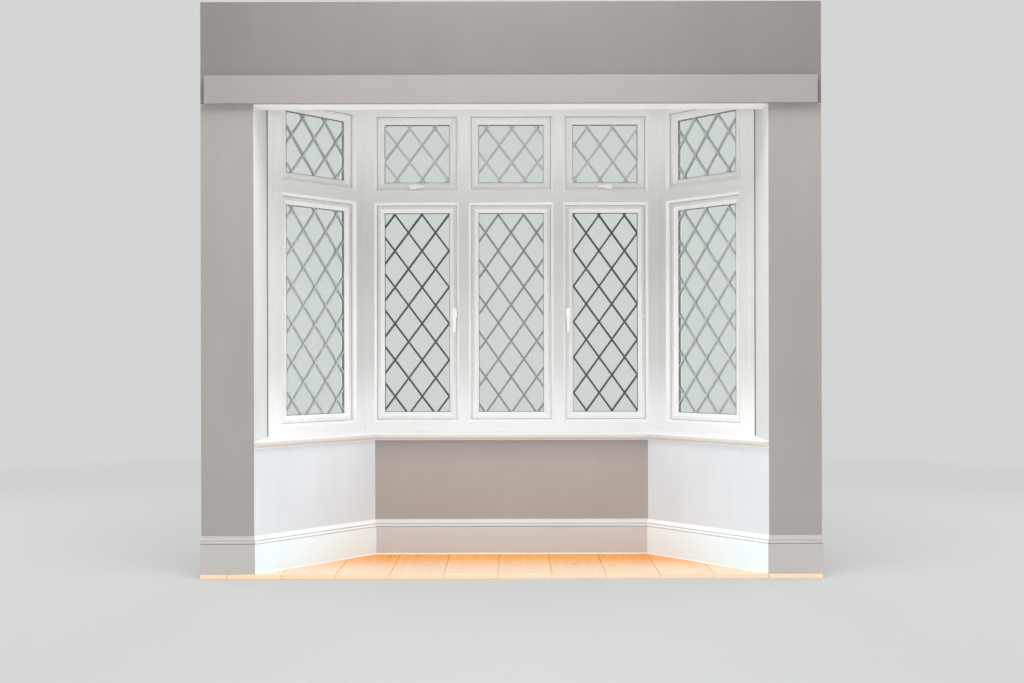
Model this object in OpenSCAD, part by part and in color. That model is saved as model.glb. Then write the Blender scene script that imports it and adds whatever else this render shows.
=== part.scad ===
// Splayed bay window of a house: plastered and brick walls below, plastic frames with
// outward-opening lights above, a window board inside and a flat lead roof outside.
// X runs along the house wall, Y runs outwards from the room, Z is up. Sizes in mm.

/* [Bay plan] */
// Width of the front wall between its two inner corners
front_w = 1356; // [1100:1:1900]
// Depth of the bay from the room face of the house wall to the front wall
bay_d = 482; // [380:1:620]
// Angle that each side turns back from the front
splay = 45; // [38:1:52]
// Length of house wall kept beside the bay on each side
pier_w = 240; // [215:1:400]

/* [Walls] */
// Thickness of the plastered inner leaf
inner_leaf_t = 107.5; // [90:0.5:140]
// Width of the cavity between the leaves
cavity_t = 55; // [40:1:75]
// Thickness of the brick outer leaf
brick_leaf_t = 102.5; // [90:0.5:120]
// Thickness of the plaster on the window reveals
plaster_t = 12.5; // [9:0.5:18]
// Width of the blocks that close the cavity beside the opening
closer_w = 102.5; // [60:0.5:140]
// Drop of the opening's soffit below the bay's ceiling
header_drop = 145.5; // [90:0.5:220]
// Height of the house wall that is kept over the bay's roof
wall_over = 185; // [180:1:500]

/* [Floor and trim] */
// Thickness of the floor boards
floor_t = 22; // [15:1:30]
// Height of the skirting board
skirting_h = 170; // [120:1:220]
// Thickness of the skirting board
skirting_t = 18; // [15:1:25]
// Height of the skirting's moulded top
skirting_mould_h = 37; // [33:1:50]
// Height of the painted board fixed over the opening
fixing_h = 126; // [90:1:150]
// Thickness of the painted board fixed over the opening
fixing_t = 22; // [15:1:30]
// Distance of the painted board's ends from the wall's ends
fixing_inset = 22; // [5:1:60]

/* [Window board and sill] */
// Height of the window board's top, above the finished floor
board_h = 594; // [450:1:800]
// Thickness of the window board
board_t = 28; // [20:1:38]
// Projection of the window board's nose past the wall
board_nose = 15; // [8:1:40]
// Projection of the outside sill past the brickwork
sill_nose = 35; // [20:1:50]
// Fall of the outside sill from the frame to its nose
sill_fall = 12; // [5:1:20]
// Depth of the sill's nose below its underside
sill_lip = 14; // [6:1:25]
// Thickness of that nose
sill_lip_t = 9; // [5:0.5:15]

/* [Frames] */
// Height of the window frames
frame_h = 1679; // [1390:1:2020]
// Depth of the window frames from inside to outside
frame_t = 70; // [60:1:80]
// Distance of the frames' inside face from the inner wall face
setback = 177; // [147:1:195]
// Flat face width of the frames' outer members
face_w = 47; // [40:0.5:60]
// Width of the bevel between a frame face and its opening
bevel_w = 12.5; // [8:0.5:16]
// Depth of that bevel
bevel_d = 12; // [8:0.5:14.5]
// Flat face width of the uprights between the front lights
mullion_w = 51; // [40:0.5:60]
// Flat face width of the side frames' members at the corners
corner_stile_w = 53.5; // [45:0.5:65]
// Width of the strip that makes up each side frame beside the house wall
make_up_w = 37; // [20:1:60]
// Flat face width of the cross member
transom_w = 57.5; // [40:0.5:70]
// Height of the upper openings
top_light_h = 374.5; // [300:1:480]
// Width of the outside rebate that the opening lights close on
rebate_w = 18; // [15:0.5:22]
// Depth of that rebate
rebate_d = 22; // [18:0.5:26]
// Width and depth of the joint between a side frame and its make-up strip
groove = 2; // [1:0.5:4]
// Thickness of the corner posts' outside cover
cover_t = 6; // [3:0.5:10]
// Lap of that cover on the frames
cover_lap = 16; // [8:0.5:24]
// Rounding of that cover's corner
cover_r = 12; // [4:0.5:20]

/* [Sashes] */
// Depth of the sash face behind the frame face
sash_recess = 25; // [18:0.5:30]
// Depth of a sash from inside to outside
sash_t = 60; // [52:1:68]
// Clearance between a sash and its frame
sash_gap = 2.5; // [1.5:0.5:4]
// Overlap of the sash lip on the outside of the frame
lip_w = 14; // [10:0.5:17]
// Flat face width of a sash
sash_face = 16.5; // [14:0.5:30]
// Width of the sloping glazing bead
bead_w = 18.5; // [14:0.5:24]
// Depth of the sloping glazing bead
bead_d = 15; // [10:0.5:16]
// Thickness of one sheet of glass
pane_t = 4; // [3:0.5:6]
// Space between the two sheets of glass
pane_space = 6; // [6:1:20]
// Depth of the glass edge that a sash holds
glass_hold = 13; // [10:0.5:14]
// Thickness of the gasket between a bead and the glass
gasket_t = 1; // [0.5:0.5:2]
// Thickness of the seal between a sash lip and the frame
seal_t = 3; // [2:0.5:5]
// Distance of that seal from the lip's edge
seal_inset = 3; // [1:0.5:5]
// Width of the flat at a glazing bead's outer edge
bead_flat = 1.5; // [1:0.5:4]
// Width of the slope round the glass on a sash's outside
outer_bead_w = 14; // [8:0.5:18]
// Thickness that this slope leaves at the glass
outer_edge_t = 3; // [2:0.5:6]
// Width of the spacer bar in a sealed unit
spacer_w = 7; // [5:0.5:10]
// Depth of the edge seal outside the spacer bar
edge_seal = 1; // [0.5:0.5:3]

/* [Roof] */
// Thickness of the ceiling lining
ceiling_t = 12.5; // [9:0.5:15]
// Thickness of the roof's core
roof_t = 120; // [100:1:160]
// Overhang of the roof core past the frames
eaves = 50; // [35:1:90]
// Thickness of the fascia boards
fascia_t = 18; // [15:1:25]
// Depth of the fascia below the roof core
fascia_drop = 18; // [12:1:40]
// Thickness of the soffit boards under the eaves
soffit_t = 9; // [6:0.5:12]
// Clearance between a soffit board and a frame
soffit_gap = 0.5; // [0.5:0.5:4]
// Thickness of the lead roof sheet
lead_t = 3; // [2:0.5:5]
// Height of the lead flashing up the house wall
flashing_h = 150; // [100:1:170]
// Width of the flashing over the roof
flashing_w = 100; // [75:1:150]
// Depth of the lead turned down over the fascia
lead_drip = 40; // [25:1:60]
// Diameter of the rolls in the lead roof
roll_d = 40; // [25:1:60]
// Number of those rolls
roll_count = 3; // [1:1:6]

/* [Handles] */
// Height of the lower handles' key, above the finished floor
key_h = 1184; // [1000:1:1400]
// Length of a handle's head
head_l = 56; // [40:1:70]
// Width of a handle's head
head_w = 26; // [18:0.5:32]
// Thickness of a handle's head
head_t = 20; // [14:0.5:26]
// Width of the step round the head's face
head_edge = 4; // [2:0.5:6]
// Distance of the head's lower end from the key
head_under = 12; // [9:0.5:16]
// Length of a lower handle's lever below its head
lever_l = 73; // [50:1:110]
// Length of an upper handle's head
fan_head_l = 46; // [40:1:60]
// Length of an upper handle's lever past its head
fan_lever_l = 31; // [20:1:70]
// Distance of an upper handle's key from the middle of its light
fan_key_x = 25; // [0:1:60]
// Width of a lever at its head
lever_w = 17; // [12:0.5:20]
// Width of a lever at its tip
lever_tip_w = 12; // [8:0.5:16]
// Thickness of a lever
lever_t = 11; // [7:0.5:14]
// Distance of a lever from the back of its head
lever_drop = 6; // [2:0.5:10]
// Width of a handle's base
handle_base_w = 15; // [11:0.5:18]
// Thickness of a handle's base
handle_base_t = 6; // [4:0.5:9]
// Diameter of a handle's neck
handle_neck_d = 13; // [9:0.5:15]
// Length of a handle's neck
handle_neck_l = 14; // [10:0.5:20]
// Diameter of the key hole
key_d = 7; // [4:0.5:10]
// Depth of the key hole
key_depth = 4; // [2:0.5:8]

/* [Hidden] */
$fn = 48;

// Cutters reach this far past what they cut
over = 5;
// Steps of the arcs in the outlines
arc_steps = 16;
small_arc_steps = 8;
// Offsets that lie clear of every mitred run, inside and outside
clip_in = -60;
clip_out = 420;
// Wall thickness and the offsets of the layers from the inner wall face
wall_t = inner_leaf_t + cavity_t + brick_leaf_t;
brick_in = inner_leaf_t + cavity_t;
frame_out = setback + frame_t;
sill_out = wall_t + sill_nose;
roof_out = frame_out + eaves;
fascia_out = roof_out + fascia_t;
// Half the opening in the house wall
reveal_x = front_w / 2 + bay_d / tan(splay);
wall_x = reveal_x + pier_w;
// Heights above the ground
board_top = floor_t + board_h;
dwarf_top = board_top - board_t;
frame_top = board_top + frame_h;
roof_z = frame_top;
roof_top = roof_z + roof_t;
lintel_z = roof_z - ceiling_t - header_drop;
wall_top = roof_top + wall_over;
// The frame's opening edges, counted from the frame's outer edge
sight = face_w + bevel_w;
mullion_sight = mullion_w + 2 * bevel_w;
transom_sight = transom_w + 2 * bevel_w;
low_z = board_top + sight;
low_h = frame_h - 2 * sight - transom_sight - top_light_h;
high_z = low_z + low_h + transom_sight;
// The frames' lengths and the widths of their openings
front_len = 2 * corner(setback)[0];
side_len = (reveal_x - corner(setback)[0]) / cos(splay);
front_light = (front_len - 2 * sight - 2 * mullion_sight) / 3;
front_lights = [for (i = [0:2]) -front_len / 2 + sight + i * (front_light + mullion_sight)];
side_light_x = corner_stile_w + bevel_w;
side_light = side_len - side_light_x - sight - make_up_w;
// The sash section
sash_body = sash_gap + sash_face + bead_w;
sash_out = sash_recess + sash_t;
glass_in = sash_recess + bead_d + gasket_t;
unit_t = 2 * pane_t + pane_space;
lip_y = frame_t - rebate_d + seal_t;
outer_bead_d = sash_out - glass_in - unit_t - outer_edge_t;
// The handles' places on a sash, and the back of their heads
handle_u = sash_gap + sash_face / 2;
head_y = sash_recess - handle_base_t - handle_neck_l;
// Small radii and steps of the mouldings
skirting_bead_r = 7;
skirting_quirk = 3;
arris = 1;
sill_seat = 3;
sill_arris = 2;
// Middle of the whole part, front to back
y_in = -max(skirting_t, fixing_t);
y_out = bay_d + fascia_out + lead_t;
y_mid = (y_in + y_out) / 2;

// Corner of the plan at an offset outwards from the inner wall face
function corner(d) = [front_w / 2 + d * tan(splay / 2), bay_d + d];
// Point on the right side's line at an offset, at a given Y or X
function side_at_y(d, y) = [corner(d)[0] + (corner(d)[1] - y) / tan(splay), y];
function side_at_x(d, x) = [x, corner(d)[1] - (x - corner(d)[0]) * tan(splay)];
// A point's twin on the other side, and an outline closed by the twins of its points
function twin(p) = [-p[0], p[1]];
function both(points) = concat(points, [for (i = [len(points) - 1:-1:0]) twin(points[i])]);
function rect(x0, x1, y0, y1) = [[x0, y0], [x1, y0], [x1, y1], [x0, y1]];
// Points on an arc
function arc(c, r, from, to, steps) =
    [for (i = [0:steps]) c + r * [cos(from + (to - from) * i / steps), sin(from + (to - from) * i / steps)]];

// The line of the side frame's end against the house, at the splay's own angle
function frame_end_at_y(y) = [reveal_x + (y - side_at_x(setback, reveal_x)[1]) / tan(90 - splay), y];
function frame_end_at_x(x) = [x, side_at_x(setback, reveal_x)[1] + (x - reveal_x) * tan(90 - splay)];

module slab(points, z, h) {
    translate([0, 0, z])
        linear_extrude(height = h)
            polygon(points);
}

// A profile of offset and height, run along the front between its two mitres
module front_run(profile) {
    intersection() {
        translate([-wall_x, bay_d, 0])
            rotate([90, 0, 90])
                linear_extrude(height = 2 * wall_x)
                    polygon(profile);
        clip(both([corner(clip_in), corner(clip_out)]));
    }
}

// The same profile run along the right side, from its mitre to a line of end points
module side_run(profile, end_points) {
    intersection() {
        translate([front_w / 2, bay_d, 0])
            rotate([0, 0, -splay])
                translate([-wall_x, 0, 0])
                    rotate([90, 0, 90])
                        linear_extrude(height = 3 * wall_x)
                            polygon(profile);
        clip(concat([corner(clip_in)], end_points, [corner(clip_out)]));
    }
}

module clip(plan) {
    slab(plan, -over, wall_top + 2 * over);
}

// Left-hand pieces are the right-hand ones mirrored
module handed(side) {
    if (side > 0) children();
    else mirror([1, 0, 0]) children();
}

module centred() {
    translate([0, -y_mid, 0]) children();
}

// Walls

module inner_wall_front() {
    color("#cfc8c0") centred()
        slab(both([corner(0), corner(inner_leaf_t)]), 0, dwarf_top);
}

module inner_wall(side) {
    color("#e4e2de") centred() handed(side)
        slab([corner(0), side_at_y(0, 0), side_at_x(inner_leaf_t, reveal_x), corner(inner_leaf_t)],
            0, dwarf_top);
}

module brick_wall_front() {
    color("#9c5a44") centred()
        slab(both([corner(brick_in), corner(wall_t)]), 0, dwarf_top);
}

module brick_wall(side) {
    color("#9c5a44") centred() handed(side)
        slab([corner(brick_in), side_at_x(brick_in, reveal_x), [reveal_x, wall_t],
            side_at_y(wall_t, wall_t), corner(wall_t)], 0, dwarf_top);
}

// The leaf, the piece that closes the cavity, and the plaster on the reveal
module pier_inner(side) {
    plaster_x = reveal_x + plaster_t;
    color("#e4e2de") centred() handed(side)
        union() {
            slab(rect(reveal_x, wall_x, 0, inner_leaf_t), 0, lintel_z);
            slab(rect(reveal_x, reveal_x + closer_w, inner_leaf_t, brick_in), 0, frame_top);
            slab([[reveal_x, inner_leaf_t], [plaster_x, inner_leaf_t], frame_end_at_x(plaster_x),
                frame_end_at_x(reveal_x)], dwarf_top, frame_top - dwarf_top);
        }
}

module pier_brick(side) {
    plaster_x = reveal_x + plaster_t;
    color("#9c5a44") centred() handed(side)
        union() {
            slab(rect(reveal_x, wall_x, brick_in, wall_t), 0, dwarf_top);
            slab([[plaster_x, brick_in], [wall_x, brick_in], [wall_x, wall_t], frame_end_at_y(wall_t),
                frame_end_at_x(plaster_x)], dwarf_top, frame_top - dwarf_top);
        }
}

module header_inner() {
    color("#dcdad6") centred()
        translate([-wall_x, 0, lintel_z])
            cube([2 * wall_x, inner_leaf_t, wall_top - lintel_z]);
}

module header_brick() {
    color("#9c5a44") centred()
        translate([-wall_x, brick_in, frame_top])
            cube([2 * wall_x, brick_leaf_t, wall_top - frame_top]);
}

// Floor, skirting and window board

module floor_boards() {
    color("#c08a50") centred()
        slab(both([[wall_x, -skirting_t], [wall_x, 0], side_at_y(0, 0), corner(0)]), 0, floor_t);
}

// Skirting section: a flat face, a quirk, a bead and a rounded top edge
function skirting_profile() =
    let (t = skirting_t, top = floor_t + skirting_h, foot = top - skirting_mould_h,
        quirk = skirting_quirk, bead_top = foot + 2 * skirting_bead_r, top_r = t - 2 * quirk - arris)
    concat([[0, floor_t], [-t, floor_t], [-t, foot - quirk / 2], [-t + quirk, foot]],
        arc([-t + skirting_bead_r + arris, foot + skirting_bead_r], skirting_bead_r, 250, 110,
            small_arc_steps),
        [[-t + 2 * quirk, bead_top + quirk / 2]],
        arc([-t + 2 * quirk + top_r, bead_top + quirk], top_r, 180, 100, small_arc_steps),
        [[0, top]]);

module skirting_front() {
    color("#efeeec") centred()
        front_run(skirting_profile());
}

// Mitre where a side's skirting turns on to the room wall
function turn(d) = [reveal_x + d * tan(splay / 2), d];

module skirting(side) {
    color("#efeeec") centred() handed(side)
        side_run(skirting_profile(), [turn(clip_in), turn(clip_out)]);
}

module skirting_pier(side) {
    color("#efeeec") centred() handed(side)
        intersection() {
            rotate([90, 0, 90])
                linear_extrude(height = wall_x + over)
                    polygon(skirting_profile());
            clip([turn(clip_in), turn(clip_out), [wall_x, clip_out], [wall_x, clip_in]]);
        }
}

// Window board section with a half-round nose
function board_profile() =
    let (r = board_t / 2)
    concat([[setback, dwarf_top]], arc([r - board_nose, dwarf_top + r], r, 270, 90, arc_steps),
        [[setback, board_top]]);

module window_board_front() {
    color("#f2f1ef") centred()
        front_run(board_profile());
}

module window_board(side) {
    color("#f2f1ef") centred() handed(side)
        side_run(board_profile(), [side_at_y(clip_in, 0), [reveal_x, 0], [reveal_x, corner(clip_out)[1]]]);
}

// Outside sill section: a flat seat under the frame, a sloping top and a drip nose
function sill_profile() =
    let (nose_top = board_top - sill_fall, nose_foot = dwarf_top - sill_lip)
    [
        [setback, dwarf_top], [setback, board_top], [frame_out + sill_seat, board_top],
        [sill_out - sill_arris, nose_top], [sill_out, nose_top - sill_arris],
        [sill_out, nose_foot], [sill_out - sill_lip_t, nose_foot], [sill_out - sill_lip_t, dwarf_top]
    ];

module sill_front() {
    color("#f2f2f0") centred()
        front_run(sill_profile());
}

module sill(side) {
    color("#f2f2f0") centred() handed(side)
        side_run(sill_profile(),
            [frame_end_at_y(0), frame_end_at_y(wall_t), side_at_y(clip_out, wall_t)]);
}

// Frames, in a window's own axes: x along it, y outwards from its inside face

module place_front() {
    translate([0, bay_d + setback, 0]) children();
}

module place_side(side) {
    handed(side)
        translate([corner(setback)[0], bay_d + setback, 0])
            rotate([0, 0, -splay]) children();
}

// A cutter whose opening shrinks by bevel on all sides over its depth
module bevel_cut(x, z, w, h, bevel, y, depth) {
    intersection() {
        translate([0, 0, z - bevel])
            linear_extrude(height = h + 2 * bevel)
                polygon([[x - bevel, y], [x + w + bevel, y], [x + w, y + depth], [x, y + depth]]);
        translate([x - bevel, 0, 0])
            rotate([90, 0, 90])
                linear_extrude(height = w + 2 * bevel)
                    polygon([[y, z - bevel], [y, z + h + bevel], [y + depth, z + h], [y + depth, z]]);
    }
}

module light_opening(x, z, w, h) {
    translate([x, -over, z])
        cube([w, frame_t + 2 * over, h]);
    bevel_cut(x, z, w, h, bevel_w, 0, bevel_d);
    translate([x - rebate_w, frame_t - rebate_d, z - rebate_w])
        cube([w + 2 * rebate_w, rebate_d + over, h + 2 * rebate_w]);
}

module frame(x, len, lights, light) {
    difference() {
        translate([x, 0, board_top])
            cube([len, frame_t, frame_h]);
        for (i = lights) {
            light_opening(i, low_z, light, low_h);
            light_opening(i, high_z, light, top_light_h);
        }
    }
}

module frame_front() {
    color("#f4f4f3") centred() place_front()
        frame(-front_len / 2, front_len, front_lights, front_light);
}

module frame_side(side) {
    color("#f4f4f3") centred() place_side(side)
        difference() {
            frame(0, side_len, [side_light_x], side_light);
            for (y = [-over, frame_t - groove])
                translate([side_len - make_up_w - groove / 2, y, board_top - over])
                    cube([groove, groove + over, frame_h + 2 * over]);
        }
}

// The post fills the wedge between two frames, and its cover laps both outside
module corner_post(side) {
    hinge = corner(setback);
    along = [cos(splay), -sin(splay)];
    front_edge = [hinge[0], corner(frame_out)[1]];
    side_edge = hinge + frame_t * [sin(splay), cos(splay)];
    side_face = hinge + (frame_t + cover_t) * [sin(splay), cos(splay)];
    nose = corner(frame_out + cover_t);
    cover = concat(
        [hinge, front_edge, front_edge - [cover_lap, 0]],
        [[front_edge[0] - cover_lap, nose[1] - cover_t / 2],
        [front_edge[0] - cover_lap + cover_t / 2, nose[1]]],
        arc(nose - cover_r * [tan(splay / 2), 1], cover_r, 90, 90 - splay, small_arc_steps),
        [side_face + (cover_lap - cover_t / 2) * along,
        side_face + cover_lap * along - cover_t / 2 * [sin(splay), cos(splay)]],
        [side_edge + cover_lap * along, side_edge]);
    color("#f0f0ee") centred() handed(side)
        union() {
            slab([hinge, front_edge, corner(frame_out), side_edge], board_top, frame_h);
            slab(cover, board_top, frame_h - soffit_t);
        }
}

// Sashes: a body inside the opening, a lip over the frame and a seal between them

module sash(x, z, w, h) {
    body = [x + sash_gap, z + sash_gap, w - 2 * sash_gap, h - 2 * sash_gap];
    clear = [x + sash_body, z + sash_body, w - 2 * sash_body, h - 2 * sash_body];
    difference() {
        union() {
            translate([body[0], sash_recess, body[1]])
                cube([body[2], sash_t, body[3]]);
            translate([x - lip_w, lip_y, z - lip_w])
                cube([w + 2 * lip_w, sash_out - lip_y, h + 2 * lip_w]);
            translate([x - lip_w + seal_inset, lip_y - seal_t, z - lip_w + seal_inset])
                cube([w + 2 * (lip_w - seal_inset), seal_t, h + 2 * (lip_w - seal_inset)]);
        }
        translate([clear[0], 0, clear[1]])
            cube([clear[2], sash_out + over, clear[3]]);
        translate([clear[0] - bead_w, 0, clear[1] - bead_w])
            cube([clear[2] + 2 * bead_w, glass_in + unit_t, clear[3] + 2 * bead_w]);
        mirror([0, 1, 0])
            bevel_cut(clear[0], clear[1], clear[2], clear[3], outer_bead_w, -sash_out, outer_bead_d);
    }
}

// The glazing bead clips in round the light and holds the glass against the sash
module bead(x, z, w, h) {
    clear = [x + sash_body, z + sash_body, w - 2 * sash_body, h - 2 * sash_body];
    difference() {
        translate([clear[0] - bead_w, sash_recess, clear[1] - bead_w])
            cube([clear[2] + 2 * bead_w, glass_in - sash_recess, clear[3] + 2 * bead_w]);
        translate([clear[0], 0, clear[1]])
            cube([clear[2], sash_out + over, clear[3]]);
        bevel_cut(clear[0], clear[1], clear[2], clear[3], bead_w - bead_flat, sash_recess, bead_d);
    }
}

module glass(x, z, w, h) {
    edge = sash_body - glass_hold;
    for (y = [glass_in, glass_in + pane_t + pane_space])
        translate([x + edge, y, z + edge])
            cube([w - 2 * edge, pane_t, h - 2 * edge]);
}

module spacer(x, z, w, h) {
    edge = sash_body - glass_hold + edge_seal;
    difference() {
        translate([x + edge, glass_in + pane_t, z + edge])
            cube([w - 2 * edge, pane_space, h - 2 * edge]);
        translate([x + edge + spacer_w, 0, z + edge + spacer_w])
            cube([w - 2 * edge - 2 * spacer_w, sash_out, h - 2 * edge - 2 * spacer_w]);
    }
}

module front_sash(i, high) {
    color("#f7f7f6") centred() place_front()
        if (high) sash(front_lights[i], high_z, front_light, top_light_h);
        else sash(front_lights[i], low_z, front_light, low_h);
}

module side_sash(side, high) {
    color("#f7f7f6") centred() place_side(side)
        if (high) sash(side_light_x, high_z, side_light, top_light_h);
        else sash(side_light_x, low_z, side_light, low_h);
}

module glazing_beads() {
    color("#f8f8f7") centred() {
        place_front()
            for (x = front_lights) {
                bead(x, low_z, front_light, low_h);
                bead(x, high_z, front_light, top_light_h);
            }
        for (side = [-1, 1])
            place_side(side) {
                bead(side_light_x, low_z, side_light, low_h);
                bead(side_light_x, high_z, side_light, top_light_h);
            }
    }
}

module glass_front() {
    color("#dfe9e4", 0.4) centred() place_front()
        for (x = front_lights) {
            glass(x, low_z, front_light, low_h);
            glass(x, high_z, front_light, top_light_h);
        }
}

module glass_side(side) {
    color("#dfe9e4", 0.4) centred() place_side(side) {
        glass(side_light_x, low_z, side_light, low_h);
        glass(side_light_x, high_z, side_light, top_light_h);
    }
}

module glass_spacers() {
    color("#b8babb") centred() {
        place_front()
            for (x = front_lights) {
                spacer(x, low_z, front_light, low_h);
                spacer(x, high_z, front_light, top_light_h);
            }
        for (side = [-1, 1])
            place_side(side) {
                spacer(side_light_x, low_z, side_light, low_h);
                spacer(side_light_x, high_z, side_light, top_light_h);
            }
    }
}

// Handles: a base on the sash, a boss, a rounded head and a tapered lever, hanging along -z

// Outline of two round ends joined by straight sides, standing on -y
module stadium(w_low, w_high, low, high, t) {
    rotate([90, 0, 0])
        linear_extrude(height = t)
            polygon(concat(
                arc([0, low + w_low / 2], w_low / 2, 180, 360, arc_steps),
                arc([0, high - w_high / 2], w_high / 2, 0, 180, arc_steps)));
}

// The key is at the origin; low and high are the head's ends and tip is the lever's end
module handle(low, high, tip) {
    mid = (low + high) / 2;
    plate_w = head_w - 2 * head_edge;
    difference() {
        union() {
            translate([0, sash_recess, 0])
                stadium(handle_base_w, handle_base_w, low, high, handle_base_t);
            translate([0, sash_recess, mid])
                rotate([90, 0, 0])
                    cylinder(d = handle_neck_d, h = handle_base_t + handle_neck_l + head_edge);
            translate([0, head_y, 0])
                stadium(head_w, head_w, low, high, head_t - head_edge);
            translate([0, head_y, 0])
                stadium(plate_w, plate_w, low + head_edge, high - head_edge, head_t);
            translate([0, head_y - lever_drop, 0])
                stadium(lever_tip_w, lever_w, tip, mid, lever_t);
        }
        translate([0, head_y - head_t + key_depth, 0])
            rotate([90, 0, 0])
                cylinder(d = key_d, h = head_t);
    }
}

module casement_handles() {
    key_z = floor_t + key_h;
    key_x = front_lights[0] + front_light - handle_u;
    color("#f6f6f4") centred() place_front()
        for (side = [-1, 1])
            handed(-side)
                translate([key_x, 0, key_z])
                    handle(-head_under, head_l - head_under, -head_under - lever_l);
}

module fanlight_handles() {
    key_x = front_lights[0] + front_light / 2 - fan_key_x;
    color("#f6f6f4") centred() place_front()
        for (side = [-1, 1])
            handed(-side)
                translate([key_x, 0, high_z + handle_u])
                    rotate([0, -90, 0])
                        handle(-fan_head_l + head_under, head_under, -fan_head_l - fan_lever_l + head_under);
}

// Roof

function roof_outline(d) = both([side_at_y(d, wall_t), corner(d)]);

module ceiling() {
    color("#f0efed") centred()
        slab(both([[reveal_x, inner_leaf_t], side_at_x(setback, reveal_x), corner(setback)]),
            roof_z - ceiling_t, ceiling_t);
}

module roof_core() {
    color("#c9b48c") centred()
        slab(roof_outline(roof_out), roof_z, roof_t);
}

// Fascia section: a board outside the roof core with a soffit back to the frames
function fascia_profile() = [
    [frame_out + soffit_gap, roof_z - soffit_t], [frame_out + soffit_gap, roof_z], [roof_out, roof_z],
    [roof_out, roof_top], [fascia_out, roof_top], [fascia_out, roof_z - fascia_drop],
    [roof_out, roof_z - fascia_drop], [roof_out, roof_z - soffit_t]
];

module fascia_front() {
    color("#f2f2f0") centred()
        front_run(fascia_profile());
}

module fascia(side) {
    color("#f2f2f0") centred() handed(side)
        side_run(fascia_profile(), [side_at_y(clip_in, wall_t), side_at_y(clip_out, wall_t)]);
}

module lead_roof() {
    color("#8d9196") centred()
        union() {
            slab(roof_outline(fascia_out + lead_t), roof_top, lead_t);
            difference() {
                slab(roof_outline(fascia_out + lead_t), roof_top - lead_drip, lead_drip);
                slab(roof_outline(fascia_out), roof_top - lead_drip - over, lead_drip + 2 * over);
            }
            for (i = [0 : roll_count - 1])
                lead_roll((i - (roll_count - 1) / 2) * front_w / roll_count);
        }
}

// A roll where two bays of lead meet, from the flashing to the front edge
module lead_roll(x) {
    translate([x, wall_t + flashing_w, roof_top])
        rotate([-90, 0, 0])
            mirror([0, 1, 0])
                linear_extrude(height = corner(fascia_out)[1] - wall_t - flashing_w)
                    polygon(arc([0, 0], roll_d / 2, 0, 180, arc_steps));
}

module flashing() {
    x = side_at_y(roof_out, wall_t)[0];
    color("#8d9196") centred()
        union() {
            translate([-x, wall_t, roof_top + lead_t])
                cube([2 * x, flashing_w, lead_t]);
            translate([-x, wall_t, roof_top + lead_t])
                cube([2 * x, lead_t, flashing_h]);
        }
}

module fixing_board() {
    x = wall_x - fixing_inset;
    color("#efeeec") centred()
        translate([-x, -fixing_t, lintel_z])
            cube([2 * x, fixing_t, fixing_h]);
}

floor_boards();  // floor
inner_wall_front();
inner_wall(-1);  // inner_wall_left
inner_wall(1);  // inner_wall_right
brick_wall_front();
brick_wall(-1);  // brick_wall_left
brick_wall(1);  // brick_wall_right
pier_inner(-1);  // pier_inner_left
pier_inner(1);  // pier_inner_right
pier_brick(-1);  // pier_brick_left
pier_brick(1);  // pier_brick_right
header_inner();
header_brick();
window_board_front();
window_board(-1);  // window_board_left
window_board(1);  // window_board_right
sill_front();
sill(-1);  // sill_left
sill(1);  // sill_right
frame_front();
frame_side(-1);  // frame_left
frame_side(1);  // frame_right
corner_post(-1);  // corner_post_left
corner_post(1);  // corner_post_right
front_sash(0, false);  // casement_left
front_sash(1, false);  // fixed_light_middle
front_sash(2, false);  // casement_right
side_sash(-1, false);  // side_light_left
side_sash(1, false);  // side_light_right
front_sash(0, true);  // fanlight_left
front_sash(1, true);  // top_light_middle
front_sash(2, true);  // fanlight_right
side_sash(-1, true);  // side_top_light_left
side_sash(1, true);  // side_top_light_right
glass_front();
glass_side(-1);  // glass_left
glass_side(1);  // glass_right
glass_spacers();
glazing_beads();
casement_handles();
fanlight_handles();
skirting_front();
skirting(-1);  // skirting_left
skirting(1);  // skirting_right
skirting_pier(-1);  // skirting_pier_left
skirting_pier(1);  // skirting_pier_right
ceiling();
roof_core();
fascia_front();
fascia(-1);  // fascia_left
fascia(1);  // fascia_right
lead_roof();
flashing();
fixing_board();
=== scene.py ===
"""A splayed bay window of a house: its finishes, leaded glazing, brickwork, boards and light."""
import logging
import math
import random
from dataclasses import dataclass, field
from enum import Enum
from typing import Callable, Iterable, Optional, Sequence, Union

import bmesh
import bpy
from mathutils import Matrix, Vector


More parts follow.
